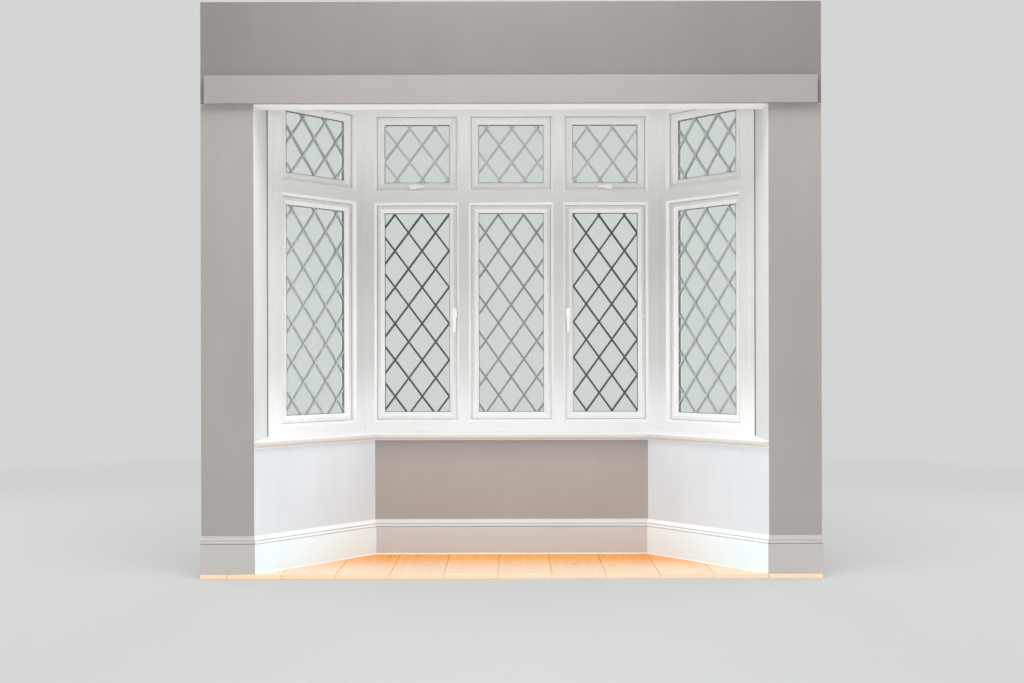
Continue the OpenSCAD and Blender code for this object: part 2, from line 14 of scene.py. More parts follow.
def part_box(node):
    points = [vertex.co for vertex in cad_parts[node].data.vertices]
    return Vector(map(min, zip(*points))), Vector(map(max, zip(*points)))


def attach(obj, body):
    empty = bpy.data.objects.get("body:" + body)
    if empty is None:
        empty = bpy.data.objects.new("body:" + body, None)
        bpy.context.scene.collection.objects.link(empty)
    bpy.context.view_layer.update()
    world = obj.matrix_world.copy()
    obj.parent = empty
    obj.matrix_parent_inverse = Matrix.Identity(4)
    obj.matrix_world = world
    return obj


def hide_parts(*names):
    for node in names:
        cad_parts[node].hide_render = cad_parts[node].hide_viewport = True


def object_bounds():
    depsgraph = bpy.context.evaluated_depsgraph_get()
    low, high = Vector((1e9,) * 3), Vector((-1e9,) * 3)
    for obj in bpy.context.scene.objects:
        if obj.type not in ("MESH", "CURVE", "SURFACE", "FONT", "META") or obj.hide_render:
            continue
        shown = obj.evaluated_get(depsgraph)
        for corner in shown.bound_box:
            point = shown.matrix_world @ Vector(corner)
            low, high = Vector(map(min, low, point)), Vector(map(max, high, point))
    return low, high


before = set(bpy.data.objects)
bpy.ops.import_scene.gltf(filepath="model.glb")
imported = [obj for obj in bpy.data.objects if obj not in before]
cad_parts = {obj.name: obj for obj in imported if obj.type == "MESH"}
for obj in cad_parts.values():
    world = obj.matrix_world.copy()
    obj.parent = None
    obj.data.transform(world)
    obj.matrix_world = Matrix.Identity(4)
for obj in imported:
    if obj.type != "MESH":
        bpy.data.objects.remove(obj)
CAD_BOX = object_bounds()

LOG = logging.getLogger("bay_window")
BODY = "root"
TONE = "tone"
TWIN = Matrix.Scale(-1.0, 4, (1, 0, 0))
ABOUT_FACE = Matrix.Scale(-1.0, 4, (0, 1, 0))
Colour = tuple[float, float, float]
Triple = tuple[float, float, float]
Point = tuple[float, float]
Plane = tuple[Point, float]
Span = tuple[float, float]
MID_TONE: Colour = (0.5, 0.5, 0.5)


class Side(Enum):
    """Which part of the bay a window stands in."""

    LEFT = -1
    FRONT = 0
    RIGHT = 1


class Slot(Enum):
    """The record's material slots, listed with each kind of piece but not applied to the added pieces."""

    OAK = "oak"
    BRICK = "brick"
    FRAME = "white_frame"
    SASH = "white_sash"
    HANDLE = "white_handle"
    SPACER = "spacer"
    PAINT = "white_paint"
    FASCIA = "white_fascia"
    LEAD = "lead"


@dataclass(frozen=True)
class BayPlan:
    """The bay's plan and heights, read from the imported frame, in metres."""

    room_y: float
    wall_x: float
    reveal_x: float
    depth: float
    inner_leaf: float
    brick_in: float
    wall_t: float
    setback: float
    frame_t: float
    floor_top: float
    dwarf_top: float
    board_top: float
    frame_top: float
    soffit_z: float
    wall_top: float
    splay: float = math.radians(45)

    @classmethod
    def from_frame(cls) -> "BayPlan":
        """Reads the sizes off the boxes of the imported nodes.

        Returns:
            The plan that every added piece is placed by.
        """
        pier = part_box("pier_inner_right")
        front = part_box("inner_wall_front")
        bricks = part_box("brick_wall_front")
        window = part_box("frame_front")
        room_y = pier[0].y
        return cls(
            room_y=room_y,
            wall_x=CAD_BOX[1].x,
            reveal_x=pier[0].x,
            depth=front[0].y - room_y,
            inner_leaf=front[1].y - front[0].y,
            brick_in=bricks[0].y - front[0].y,
            wall_t=bricks[1].y - front[0].y,
            setback=window[0].y - front[0].y,
            frame_t=window[1].y - window[0].y,
            floor_top=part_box("floor")[1].z,
            dwarf_top=front[1].z,
            board_top=window[0].z,
            frame_top=window[1].z,
            soffit_z=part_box("header_inner")[0].z,
            wall_top=CAD_BOX[1].z,
        )

    def corner(self, offset: float) -> Point:
        """The right-hand corner of the plan at an offset outwards from the inner wall face."""
        half = self.reveal_x - self.depth / math.tan(self.splay)
        return half + offset * math.tan(self.splay / 2), self.room_y + self.depth + offset

    def offset_at(self, y: float) -> float:
        """How far a given Y lies outwards from the front's inner wall face."""
        return y - self.room_y - self.depth

    def side_at_y(self, offset: float, y: float) -> Point:
        """The point on the right side's line at an offset and a given Y."""
        cx, cy = self.corner(offset)
        return cx + (cy - y) / math.tan(self.splay), y

    def side_at_x(self, offset: float, x: float) -> Point:
        """The point on the right side's line at an offset and a given X."""
        cx, cy = self.corner(offset)
        return x, cy - (x - cx) * math.tan(self.splay)

    def frame_end(self, y: float) -> Point:
        """The point at a given Y on the line where the right side frame ends."""
        start = self.side_at_x(self.setback, self.reveal_x)
        return start[0] + (y - start[1]) * math.tan(self.splay), y

    def frame_end_at_x(self, x: float) -> Point:
        """The point at a given X on that line."""
        start = self.side_at_x(self.setback, self.reveal_x)
        return x, start[1] + (x - self.reveal_x) / math.tan(self.splay)

    def run(self, profile: Sequence[Point], end_x: Optional[float] = None) -> list[list[Vector]]:
        """Carries a profile of offset and height round the bay, with mitres at its corners.

        Args:
            profile: The section's points as offset outwards and height.
            end_x: Where the run ends on each side; at the reveal if not given.

        Returns:
            The section at the left end, both corners and the right end.
        """
        end = end_x or self.reveal_x
        right_end = [Vector((*self.side_at_x(d, end), z)) for d, z in profile]
        right = [Vector((*self.corner(d), z)) for d, z in profile]
        return [[TWIN @ p for p in right_end], [TWIN @ p for p in right], right, right_end]

    def placing(self, side: Side, offset: Optional[float] = None) -> Matrix:
        """Finds the matrix from a window's own axes (x along it, y outwards) to the row's frame.

        Args:
            side: The part of the bay.
            offset: How far outwards the axes lie; at the frames' inner face if not given.

        Returns:
            The matrix, which mirrors for the left side.
        """
        corner = self.corner(self.setback if offset is None else offset)
        if side is Side.FRONT:
            return Matrix.Translation((0, corner[1], 0))
        turned = Matrix.Translation((*corner, 0)) @ Matrix.Rotation(-self.splay, 4, "Z")
        return turned if side is Side.RIGHT else TWIN @ turned


PLAN = BayPlan.from_frame()


@dataclass(frozen=True)
class Wire:
    """One output of a node tree, with arithmetic through operators."""

    tree: bpy.types.NodeTree
    socket: bpy.types.NodeSocket

    def math(self, operation: str, *others: "Value") -> "Wire":
        """Adds a maths node.

        Args:
            operation: Blender's name of the operation.
            others: The values after this one.

        Returns:
            The result's wire.
        """
        node = self.tree.nodes.new("ShaderNodeMath")
        node.operation = operation
        for socket, value in zip(node.inputs, (self, *others)):
            put(socket, value)
        return Wire(self.tree, node.outputs[0])

    def __add__(self, other: "Value") -> "Wire":
        """Sum."""
        return self.math("ADD", other)

    def __sub__(self, other: "Value") -> "Wire":
        """Difference."""
        return self.math("SUBTRACT", other)

    def __rsub__(self, other: "Value") -> "Wire":
        """Difference from a number."""
        return self.math("MULTIPLY_ADD", -1.0, other)

    def __mul__(self, other: "Value") -> "Wire":
        """Product."""
        return self.math("MULTIPLY", other)

    def __truediv__(self, other: "Value") -> "Wire":
        """Quotient."""
        return self.math("DIVIDE", other)

    def __gt__(self, other: "Value") -> "Wire":
        """One where this is greater, else nought."""
        return self.math("GREATER_THAN", other)

    def __lt__(self, other: "Value") -> "Wire":
        """One where this is less, else nought."""
        return self.math("LESS_THAN", other)

    def either(self, other: "Value") -> "Wire":
        """The greater of two."""
        return self.math("MAXIMUM", other)

    def lesser(self, other: "Value") -> "Wire":
        """The lesser of two."""
        return self.math("MINIMUM", other)

    def size(self) -> "Wire":
        """The value without its sign."""
        return self.math("ABSOLUTE")

    def part(self) -> "Wire":
        """What the value has over a whole number."""
        return self.math("FRACT")


Value = Union[Wire, float, Colour]


def put(socket: bpy.types.NodeSocket, value: Value) -> None:
    """Links a wire to a socket, or sets the socket's own value.

    Args:
        socket: The input to fill.
        value: A wire, a number or a colour.
    """
    if isinstance(value, Wire):
        value.tree.links.new(value.socket, socket)
    elif isinstance(value, tuple) and len(value) == 3 and socket.type == "RGBA":
        socket.default_value = (*value, 1.0)
    else:
        socket.default_value = value


def shaded(colour: Colour, share: float) -> Colour:
    """The colour made darker or lighter."""
    return tuple(min(1.0, part * share) for part in colour)


class Nodes:
    """A node tree under construction, with methods that make its nodes."""

    def __init__(self, tree: bpy.types.NodeTree) -> None:
        """Keeps the tree that the nodes go in."""
        self.tree = tree

    def wire(self, kind: str, out: Union[int, str] = 0, settings: Optional[dict] = None,
             **inputs: Value) -> Wire:
        """Makes a node and fills its inputs by name.

        Args:
            kind: Blender's name of the node's type.
            out: The output to return.
            settings: The node's own properties.
            inputs: Values by the socket's name, with underscores for spaces.

        Returns:
            The chosen output's wire.
        """
        node = self.tree.nodes.new(kind)
        for name, value in (settings or {}).items():
            setattr(node, name, value)
        for name, value in inputs.items():
            put(node.inputs[name.replace("_", " ")], value)
        return Wire(self.tree, node.outputs[out])

    def in_order(self, kind: str, *values: Value, **settings: str) -> Wire:
        """Makes a node and fills its inputs in their order.

        Args:
            kind: Blender's name of the node's type.
            values: The inputs' values.
            settings: The node's own properties.

        Returns:
            The first output's wire.
        """
        made = self.wire(kind, 0, settings)
        for socket, value in zip(made.socket.node.inputs, values):
            put(socket, value)
        return made

    def parts(self, value: Wire, kind: str = "XYZ") -> tuple[Wire, ...]:
        """Splits a vector or a colour.

        Args:
            value: What to split.
            kind: XYZ for a vector, Color for a colour.

        Returns:
            Its three parts.
        """
        node = self.in_order(f"ShaderNodeSeparate{kind}", value).socket.node
        return tuple(Wire(self.tree, socket) for socket in node.outputs)

    def vector(self, x: Value, y: Value, z: Value) -> Wire:
        """A vector of three values."""
        return self.wire("ShaderNodeCombineXYZ", X=x, Y=y, Z=z)

    def ray(self, kind: str) -> Wire:
        """One for light rays of a kind, else nought."""
        return self.wire("ShaderNodeLightPath", f"Is {kind} Ray")

    def show(self, kind: str, shader: Wire) -> None:
        """Ends the tree in an output that shows a shader."""
        put(self.tree.nodes.new(kind).inputs["Surface"], shader)


@dataclass(frozen=True)
class Grain:
    """A noise pattern: its repeats in a metre, its finer layers, their strength, and its stretch."""

    scale: float
    layers: float = 3.0
    strength: float = 0.5
    stretch: Optional[Triple] = None


class Shader(Nodes):
    """A material under construction."""

    def __init__(self, name: str) -> None:
        """Starts an empty material.

        Args:
            name: The material's name.
        """
        self.material = bpy.data.materials.new(name)
        self.material.use_nodes = True
        super().__init__(self.material.node_tree)
        self.tree.nodes.clear()
        self.place = self.wire("ShaderNodeTexCoord", "Object")

    def axes(self) -> tuple[Wire, ...]:
        """The object coordinates as three wires."""
        return self.parts(self.place)

    def tones(self) -> tuple[Wire, ...]:
        """The three parts of a piece's own tone."""
        return self.parts(self.wire("ShaderNodeAttribute", "Color", {"attribute_name": TONE}), "Color")

    def stretched(self, scale: Triple, at: Optional[Wire] = None) -> Wire:
        """Coordinates scaled along each axis, the object's own if none are given."""
        return self.wire("ShaderNodeMapping", Vector=at or self.place, Scale=scale)

    def noise(self, grain: Grain, at: Optional[Wire] = None) -> Wire:
        """Makes a noise pattern.

        Args:
            grain: The pattern's sizes.
            at: The coordinates, if not the object's own.

        Returns:
            The pattern's value, from nought to one.
        """
        place = self.stretched(grain.stretch, at) if grain.stretch else at or self.place
        return self.wire("ShaderNodeTexNoise", "Fac", Vector=place, Scale=grain.scale,
                         Detail=grain.layers, Roughness=grain.strength)

    def ramp(self, value: Wire, low: float, high: float) -> Wire:
        """Spreads a value from nought at one place to one at another, with soft ends.

        Args:
            value: The value to spread.
            low: Where the result is nought.
            high: Where it is one; it may be the lower of the two.

        Returns:
            The result's wire.
        """
        node = self.tree.nodes.new("ShaderNodeMapRange")
        node.interpolation_type = "SMOOTHSTEP"
        put(node.inputs["Value"], value)
        put(node.inputs["From Min"], low)
        put(node.inputs["From Max"], high)
        return Wire(self.tree, node.outputs[0])

    def blend(self, factor: Value, first: Value, second: Value) -> Wire:
        """Mixes two colours.

        Args:
            factor: How much of the second shows.
            first: The first colour.
            second: The second colour.

        Returns:
            The mixed colour.
        """
        node = self.tree.nodes.new("ShaderNodeMix")
        node.data_type = "RGBA"
        put(node.inputs[0], factor)
        put(node.inputs[6], first)
        put(node.inputs[7], second)
        return Wire(self.tree, node.outputs[2])

    def bump(self, height: Wire, depth: float, below: Optional[Wire] = None) -> Wire:
        """Relief of a height pattern, on top of any relief below it."""
        extra = {"Normal": below} if below else {}
        return self.wire("ShaderNodeBump", Height=height, Distance=depth, Strength=1.0, **extra)

    def end(self, shader: Wire) -> bpy.types.Material:
        """Shows a shader as the material."""
        self.show("ShaderNodeOutputMaterial", shader)
        return self.material

    def finish(self, **inputs: Value) -> bpy.types.Material:
        """Ends with the main shader, its inputs given by their names with underscores for spaces."""
        return self.end(self.wire("ShaderNodeBsdfPrincipled", **inputs))


@dataclass(frozen=True)
class WhitePlastic:
    """Smooth white window plastic with a faint peel and dust. Its flats are a darker white, painted shade; its
    slopes, and inside the parts near the head and the foot, are lighter, painted light.
    """

    name: str
    colour: Colour
    roughness: float = 0.24
    # The slopes' lighter white is a painted highlight.
    slope: Colour = (0.88, 0.88, 0.875)
    dust: Colour = (0.62, 0.60, 0.56)
    dust_share: float = 0.10
    dust_span: Span = (0.20, 0.42)
    painted_end_light: bool = False
    outside_lift: float = 0.2
    head_light_span: Span = (-0.68, -0.09)
    foot_light_span: Span = (0.42, 0.0)
    foot_light_share: float = 0.85
    broad: Grain = Grain(2.2, 4.0)
    fine: Grain = Grain(60.0, 5.0, 0.6)
    peel: Grain = Grain(420.0, 2.0)
    broad_depth: float = 0.0006
    peel_depth: float = 0.00012
    roughness_spread: float = 0.14
    coat: float = 0.12
    coat_roughness: float = 0.18

    def build(self) -> bpy.types.Material:
        """Makes the material.

        Returns:
            The material.
        """
        s = Shader(self.name)
        broad, fine = s.noise(self.broad), s.noise(self.fine)
        darkening = s.ramp(broad * fine, *self.dust_span) * self.dust_share
        # The tone's first part marks sloping faces, which take the lighter slope white: painted highlight.
        painted_highlight_share, inside, _ = s.tones()
        # Painted light: inside faces grow lighter towards the frame's head and foot, and outside faces are
        # lifted by a fixed share of the slope white.
        if self.painted_end_light:
            _, _, z = s.axes()
            head = s.ramp(z, *(PLAN.frame_top + up for up in self.head_light_span))
            foot = s.ramp(z, *(PLAN.board_top + up for up in self.foot_light_span)) * self.foot_light_share
            painted_highlight_share = painted_highlight_share.either(inside * head.either(foot) + (1.0 - inside) * self.outside_lift)
        tone_with_painted_light = s.blend(darkening, s.blend(painted_highlight_share, self.colour, self.slope), self.dust)
        relief = s.bump(broad, self.broad_depth, s.bump(s.noise(self.peel), self.peel_depth))
        return s.finish(Base_Color=tone_with_painted_light, Roughness=fine * self.roughness_spread + self.roughness,
                        Normal=relief, Coat_Weight=self.coat, Coat_Roughness=self.coat_roughness)


@dataclass(frozen=True)
class RolledPaint:
    """Matt paint put on plaster with a roller, with painted shade as a soft dark band below a given height."""

    name: str
    colour: Colour
    roughness: float = 0.75
    stipple_depth: float = 0.00035
    under: float = 0.0
    under_shade_reach: float = 0.13
    under_shade_dim: float = 0.80
    cloud: Grain = Grain(1.7, 4.0)
    cloud_share: float = 0.6
    lap: Grain = Grain(9.0, 3.0, 0.5, (1.0, 1.0, 0.25))
    lap_share: float = 0.4
    patchy: Span = (0.32, 0.68)
    dim: float = 0.955
    bright: float = 1.03
    sheen: Grain = Grain(35.0)
    sheen_spread: float = 0.12
    waves: Grain = Grain(3.0, 2.0)
    wave_depth: float = 0.004
    stipple: Grain = Grain(260.0, 3.0, 0.6)

    def build(self) -> bpy.types.Material:
        """Makes the material.

        Returns:
            The material.
        """
        s = Shader(self.name)
        return s.finish(Base_Color=self.tinted(s, self.colour), Normal=self.relief(s),
                        Roughness=s.noise(self.sheen) * self.sheen_spread + self.roughness)

    def tinted(self, s: Shader, colour: Colour) -> Wire:
        """Gives a paint its faint clouds and roller marks, and its painted shade below a height if it has one.

        Args:
            s: The material under construction.
            colour: The paint's colour.

        Returns:
            The colour's wire.
        """
        pattern = s.noise(self.cloud) * self.cloud_share + s.noise(self.lap) * self.lap_share
        tone = s.blend(s.ramp(pattern, *self.patchy), shaded(colour, self.dim), shaded(colour, self.bright))
        # Painted shade: the paint darkens towards the given height, under the window board.
        if self.under:
            _, _, z = s.axes()
            near = s.ramp(z, self.under - self.under_shade_reach, self.under)
            tone = s.blend(near, tone, shaded(colour, self.under_shade_dim))
        return tone

    def relief(self, s: Shader) -> Wire:
        """The roller's stipple over slow waves in the plaster."""
        waves = s.bump(s.noise(self.waves), self.wave_depth)
        return s.bump(s.noise(self.stipple), self.stipple_depth, waves)


class Zone(Enum):
    """Which part of the house wall a paint is for."""

    BESIDE = "beside"
    OVER = "over"


@dataclass(frozen=True)
class HouseWallPaint(RolledPaint):
    """Painted plaster of the house wall, white inside the opening, and bare blocks where the wall is cut."""

    zone: Zone = Zone.BESIDE
    white: Colour = (0.86, 0.86, 0.85)
    block: Colour = (0.40, 0.39, 0.37)
    block_dim: float = 0.78
    block_span: Span = (0.3, 0.7)
    joint: Colour = (0.55, 0.53, 0.50)
    plaster: Colour = (0.66, 0.58, 0.52)
    plaster_t: float = 0.013
    block_l: float = 0.450
    block_h: float = 0.225
    joint_t: float = 0.010
    near: float = 0.0006
    grit: Grain = Grain(90.0, 6.0, 0.7)
    grit_depth: float = 0.0012
    cut_roughness: float = 0.15

    def build(self) -> bpy.types.Material:
        """Makes the material.

        Returns:
            The material.
        """
        s = Shader(self.name)
        x, y, z = s.axes()
        paint = s.blend(self.opening(x, z), self.tinted(s, self.colour), self.tinted(s, self.white))
        grit = s.noise(self.grit)
        cut = self.cut(x, y, z)
        relief = s.bump(grit * cut, self.grit_depth, self.relief(s))
        return s.finish(Base_Color=s.blend(cut, paint, self.bare(s, x, y, z, grit)),
                        Roughness=cut * self.cut_roughness + self.roughness, Normal=relief)

    def opening(self, x: Wire, z: Wire) -> Wire:
        """Finds the faces inside the bay's opening.

        Args:
            x: The place across.
            z: The height.

        Returns:
            One there, else nought.
        """
        if self.zone is Zone.OVER:
            return z < (PLAN.soffit_z + self.near)
        return x.size() < (PLAN.reveal_x + self.near)

    def cut(self, x: Wire, y: Wire, z: Wire) -> Wire:
        """Finds the faces where the wall is cut or hidden in its cavity.

        Args:
            x: The place across.
            y: The place outwards.
            z: The height.

        Returns:
            One there, else nought.
        """
        ends = (x.size() > (PLAN.wall_x - self.near)).either(z > (PLAN.wall_top - self.near))
        back = y > (PLAN.room_y + PLAN.inner_leaf - self.near)
        if self.zone is Zone.BESIDE:
            back = back * (x.size() > (PLAN.reveal_x + self.near))
        return ends.either(back)

    def bare(self, s: Shader, x: Wire, y: Wire, z: Wire, grit: Wire) -> Wire:
        """Colours the blocks, their mortar and the plaster's edge.

        Args:
            s: The material under construction.
            x: The place across.
            y: The place outwards.
            z: The height.
            grit: The blocks' coarse pattern.

        Returns:
            The colour's wire.
        """
        course = (z / self.block_h).part()
        odd = (z / (2 * self.block_h)).part() > 0.5
        along = ((x + odd * (self.block_l / 2)) / self.block_l).part()
        mortar = (course < (self.joint_t / self.block_h)).either(along < (self.joint_t / self.block_l))
        body = s.blend(s.ramp(grit, *self.block_span), shaded(self.block, self.block_dim), self.block)
        body = s.blend(mortar, body, self.joint)
        return s.blend(y < (PLAN.room_y + self.plaster_t), body, self.plaster)


@dataclass(frozen=True)
class BrushedPaint:
    """Satin paint brushed along a board, with dust and painted shade in its mould's quirks, and painted light
    below a height.
    """

    name: str
    colour: Colour
    quirks: tuple[float, ...] = ()
    painted_shade_below: float = 0.0
    tone_with_painted_light: Colour = (0.62, 0.595, 0.57)
    painted_shade_edge: float = 0.004
    dim: float = 0.95
    dust: Colour = (0.36, 0.33, 0.30)
    quirk_span: Span = (0.0028, 0.00084)
    quirk_share: float = 0.9
    strokes: Grain = Grain(14.0, 4.0, 0.6, (0.6, 9.0, 26.0))
    stroke_depth: float = 0.0003
    cloud: Grain = Grain(2.5, 3.0)
    cloud_span: Span = (0.3, 0.7)
    scuffs: Grain = Grain(11.0, 6.0, 0.75)
    scuff_span: Span = (0.62, 0.80)
    scuff_share: float = 0.10
    roughness: float = 0.34
    roughness_spread: float = 0.16
    coat: float = 0.10
    coat_roughness: float = 0.25

    def build(self) -> bpy.types.Material:
        """Makes the material.

        Returns:
            The material.
        """
        s = Shader(self.name)
        strokes = s.noise(self.strokes)
        cloud = s.ramp(s.noise(self.cloud), *self.cloud_span)
        tone = s.blend(cloud, shaded(self.colour, self.dim), self.colour)
        scuffs = s.ramp(s.noise(self.scuffs), *self.scuff_span) * self.scuff_share
        tone = s.blend(scuffs, tone, self.dust)
        _, _, z = s.axes()
        # Dust and painted shade: dark lines in the mould's quirks, where their shadow falls.
        for height in self.quirks:
            darkening = s.ramp((z - height).size(), *self.quirk_span) * self.quirk_share
            tone = s.blend(darkening, tone, self.dust)
        # Painted light below a height: the board's darker nose and underside, and each skirting's face below
        # its mould.
        if self.painted_shade_below > 0.0:
            tone = s.blend(s.ramp(z, self.painted_shade_below, self.painted_shade_below - self.painted_shade_edge), tone, self.tone_with_painted_light)
        return s.finish(Base_Color=tone, Roughness=strokes * self.roughness_spread + self.roughness,
                        Normal=s.bump(strokes, self.stroke_depth), Coat_Weight=self.coat,
                        Coat_Roughness=self.coat_roughness)


@dataclass(frozen=True)
class OakBoard:
    """Lacquered oak with straight and cathedral grain, pores and knots, its own tone for each board, and
    painted glare that makes it paler towards the room.
    """

    name: str = "oak_boards"
    light: Colour = (0.98, 0.40, 0.030)
    dark: Colour = (0.82, 0.21, 0.010)
    line: Colour = (0.42, 0.20, 0.075)
    blond: Colour = (0.97, 0.50, 0.12)
    blond_share: float = 0.7
    deep: Colour = (0.84, 0.29, 0.030)
    deep_share: float = 0.45
    knot: Colour = (0.20, 0.09, 0.035)
    knot_share: float = 0.6
    knot_scale: float = 3.1
    knot_span: Span = (0.085, 0.02)
    knot_stretch: Triple = (1.0, 0.55, 1.0)
    painted_glare: Colour = (0.90, 0.76, 0.60)
    painted_glare_span: Span = (0.42, 0.04)
    painted_glare_share: float = 0.78
    shift: Triple = (7.0, 11.0, 3.0)
    long: Triple = (1.0, 0.09, 1.0)
    wander: Grain = Grain(5.0, 4.0, 0.55)
    wander_share: float = 0.6
    ring_scale: float = 6.0
    ring_bend: float = 7.0
    ring_layers: float = 3.0
    ring_layer_scale: float = 1.4
    ring_share: float = 0.18
    fibre: Grain = Grain(130.0, 5.0, 0.65)
    fibre_share: float = 0.45
    grain_span: Span = (0.44, 0.80)
    pores: Grain = Grain(300.0, 2.0, 0.6, (1.0, 0.05, 1.0))
    pore_span: Span = (0.60, 0.72)
    pore_share: float = 0.45
    fibre_height: float = 0.5
    pore_height: float = -0.8
    depth: float = 0.0004
    roughness: float = 0.30
    fibre_roughness: float = 0.16
    pore_roughness: float = 0.12
    coat: float = 0.08
    coat_roughness: float = 0.25
    specular: float = 0.2

    def build(self) -> bpy.types.Material:
        """Makes the material.

        Returns:
            The material.
        """
        s = Shader(self.name)
        shade, own, flame = s.tones()
        offset = s.vector(*(own * share for share in self.shift))
        moved_on = s.in_order("ShaderNodeVectorMath", s.place, offset, operation="ADD")
        long = s.stretched(self.long, moved_on)
        rings = s.wire("ShaderNodeTexWave", "Fac", {"wave_type": "BANDS", "bands_direction": "X"},
                       Vector=long, Scale=self.ring_scale, Distortion=self.ring_bend,
                       Detail=self.ring_layers, Detail_Scale=self.ring_layer_scale)
        fibre = s.noise(self.fibre, long)
        grain = s.noise(self.wander, long) * self.wander_share + rings * flame * self.ring_share
        grain = s.ramp(grain + fibre * self.fibre_share, *self.grain_span)
        body = s.blend(grain, self.light, self.dark)
        body = s.blend(shade * self.blond_share, body, self.blond)
        body = s.blend(own * self.deep_share, body, self.deep)
        # Painted glare: the boards grow paler towards the room, away from the window.
        _, y, _ = s.axes()
        painted_glare = s.ramp(y, *(PLAN.room_y + out for out in self.painted_glare_span))
        body = s.blend(painted_glare * self.painted_glare_share, body, self.painted_glare)
        pores = s.ramp(s.noise(self.pores, moved_on), *self.pore_span)
        body = s.blend(pores * self.pore_share, body, self.line)
        cells = s.wire("ShaderNodeTexVoronoi", "Distance", Scale=self.knot_scale,
                       Vector=s.stretched(self.knot_stretch, moved_on))
        body = s.blend(s.ramp(cells, *self.knot_span) * self.knot_share, body, self.knot)
        relief = s.bump(fibre * self.fibre_height + pores * self.pore_height, self.depth)
        roughness = fibre * self.fibre_roughness + pores * self.pore_roughness + self.roughness
        return s.finish(Base_Color=body, Roughness=roughness, Normal=relief, Coat_Weight=self.coat,
                        Coat_Roughness=self.coat_roughness, Specular_IOR_Level=self.specular)


@dataclass(frozen=True)
class Glass:
    """Clear window glass, a little green, that lets most light straight through."""

    name: str = "clear_glass"
    tint: Colour = (0.982, 0.992, 0.985)
    gloss: Colour = (0.80, 0.88, 0.84)
    smear: Grain = Grain(7.0, 5.0, 0.6)
    smear_span: Span = (0.3, 0.8)
    smear_roughness: float = 0.05
    roughness: float = 0.01
    ior: float = 1.45
    edge_share: float = 0.8
    dust_span: Span = (0.45, 0.85)
    dust_share: float = 0.012

    def build(self) -> bpy.types.Material:
        """Makes the material, set to blend so that the viewport treats it as see-through.

        Returns:
            The material.
        """
        s = Shader(self.name)
        smear = s.noise(self.smear)
        roughness = s.ramp(smear, *self.smear_span) * self.smear_roughness + self.roughness
        gloss = s.wire("ShaderNodeBsdfPrincipled", Base_Color=self.gloss, Roughness=roughness)
        clear = s.wire("ShaderNodeBsdfTransparent", Color=self.tint)
        dust = s.ramp(smear, *self.dust_span) * self.dust_share
        edge = s.wire("ShaderNodeFresnel", IOR=self.ior)
        s.material.surface_render_method = "BLENDED"
        return s.end(s.in_order("ShaderNodeMixShader", edge * self.edge_share + dust, clear, gloss))


@dataclass(frozen=True)
class Metal:
    """Dull metal with cloudy patches and streaks."""

    name: str
    colour: Colour
    bloom: Colour
    roughness: float = 0.5
    metallic: float = 0.6
    bloom_share: float = 0.6
    bloom_span: Span = (0.40, 0.66)
    bloom_roughness: float = 0.3
    cloud: Grain = Grain(5.0, 6.0, 0.65)
    streaks: Grain = Grain(12.0, 4.0, 0.6, (3.0, 3.0, 0.5))
    dents: Grain = Grain(9.0, 3.0)
    dent_depth: float = 0.0022
    fine: Grain = Grain(180.0, 4.0, 0.6)
    fine_depth: float = 0.0003

    def build(self) -> bpy.types.Material:
        """Makes the material.

        Returns:
            The material.
        """
        s = Shader(self.name)
        patches = s.noise(self.cloud) * 0.5 + s.noise(self.streaks) * 0.5
        chalk = s.ramp(patches, *self.bloom_span) * self.bloom_share
        relief = s.bump(s.noise(self.fine), self.fine_depth, s.bump(s.noise(self.dents), self.dent_depth))
        return s.finish(Base_Color=s.blend(chalk, self.colour, self.bloom), Metallic=self.metallic,
                        Roughness=chalk * self.bloom_roughness + self.roughness, Normal=relief)


@dataclass(frozen=True)
class Came:
    """Lead strip on glass, from dark and waxed to pale with bloom and painted sheen."""

    name: str = "window_lead"
    dark: Colour = (0.070, 0.076, 0.084)
    pale: Colour = (0.76, 0.78, 0.80)
    cloud: Grain = Grain(30.0, 5.0, 0.65)
    cloud_share: float = 0.4
    fine: Grain = Grain(300.0, 3.0, 0.6)
    fine_depth: float = 0.0002
    metallic: float = 0.2
    roughness: float = 0.34
    roughness_spread: float = 0.2

    def build(self) -> bpy.types.Material:
        """Makes the material.

        Returns:
            The material.
        """
        s = Shader(self.name)
        bloom_and_painted_sheen, _, _ = s.tones()
        cloud = s.noise(self.cloud)
        # The pale share is bloom on the lead and painted sheen of reflected light.
        share = (bloom_and_painted_sheen + (cloud - 0.5) * self.cloud_share).either(0.0).lesser(1.0)
        return s.finish(Base_Color=s.blend(share, self.dark, self.pale), Metallic=self.metallic,
                        Roughness=cloud * self.roughness_spread + self.roughness,
                        Normal=s.bump(s.noise(self.fine), self.fine_depth))


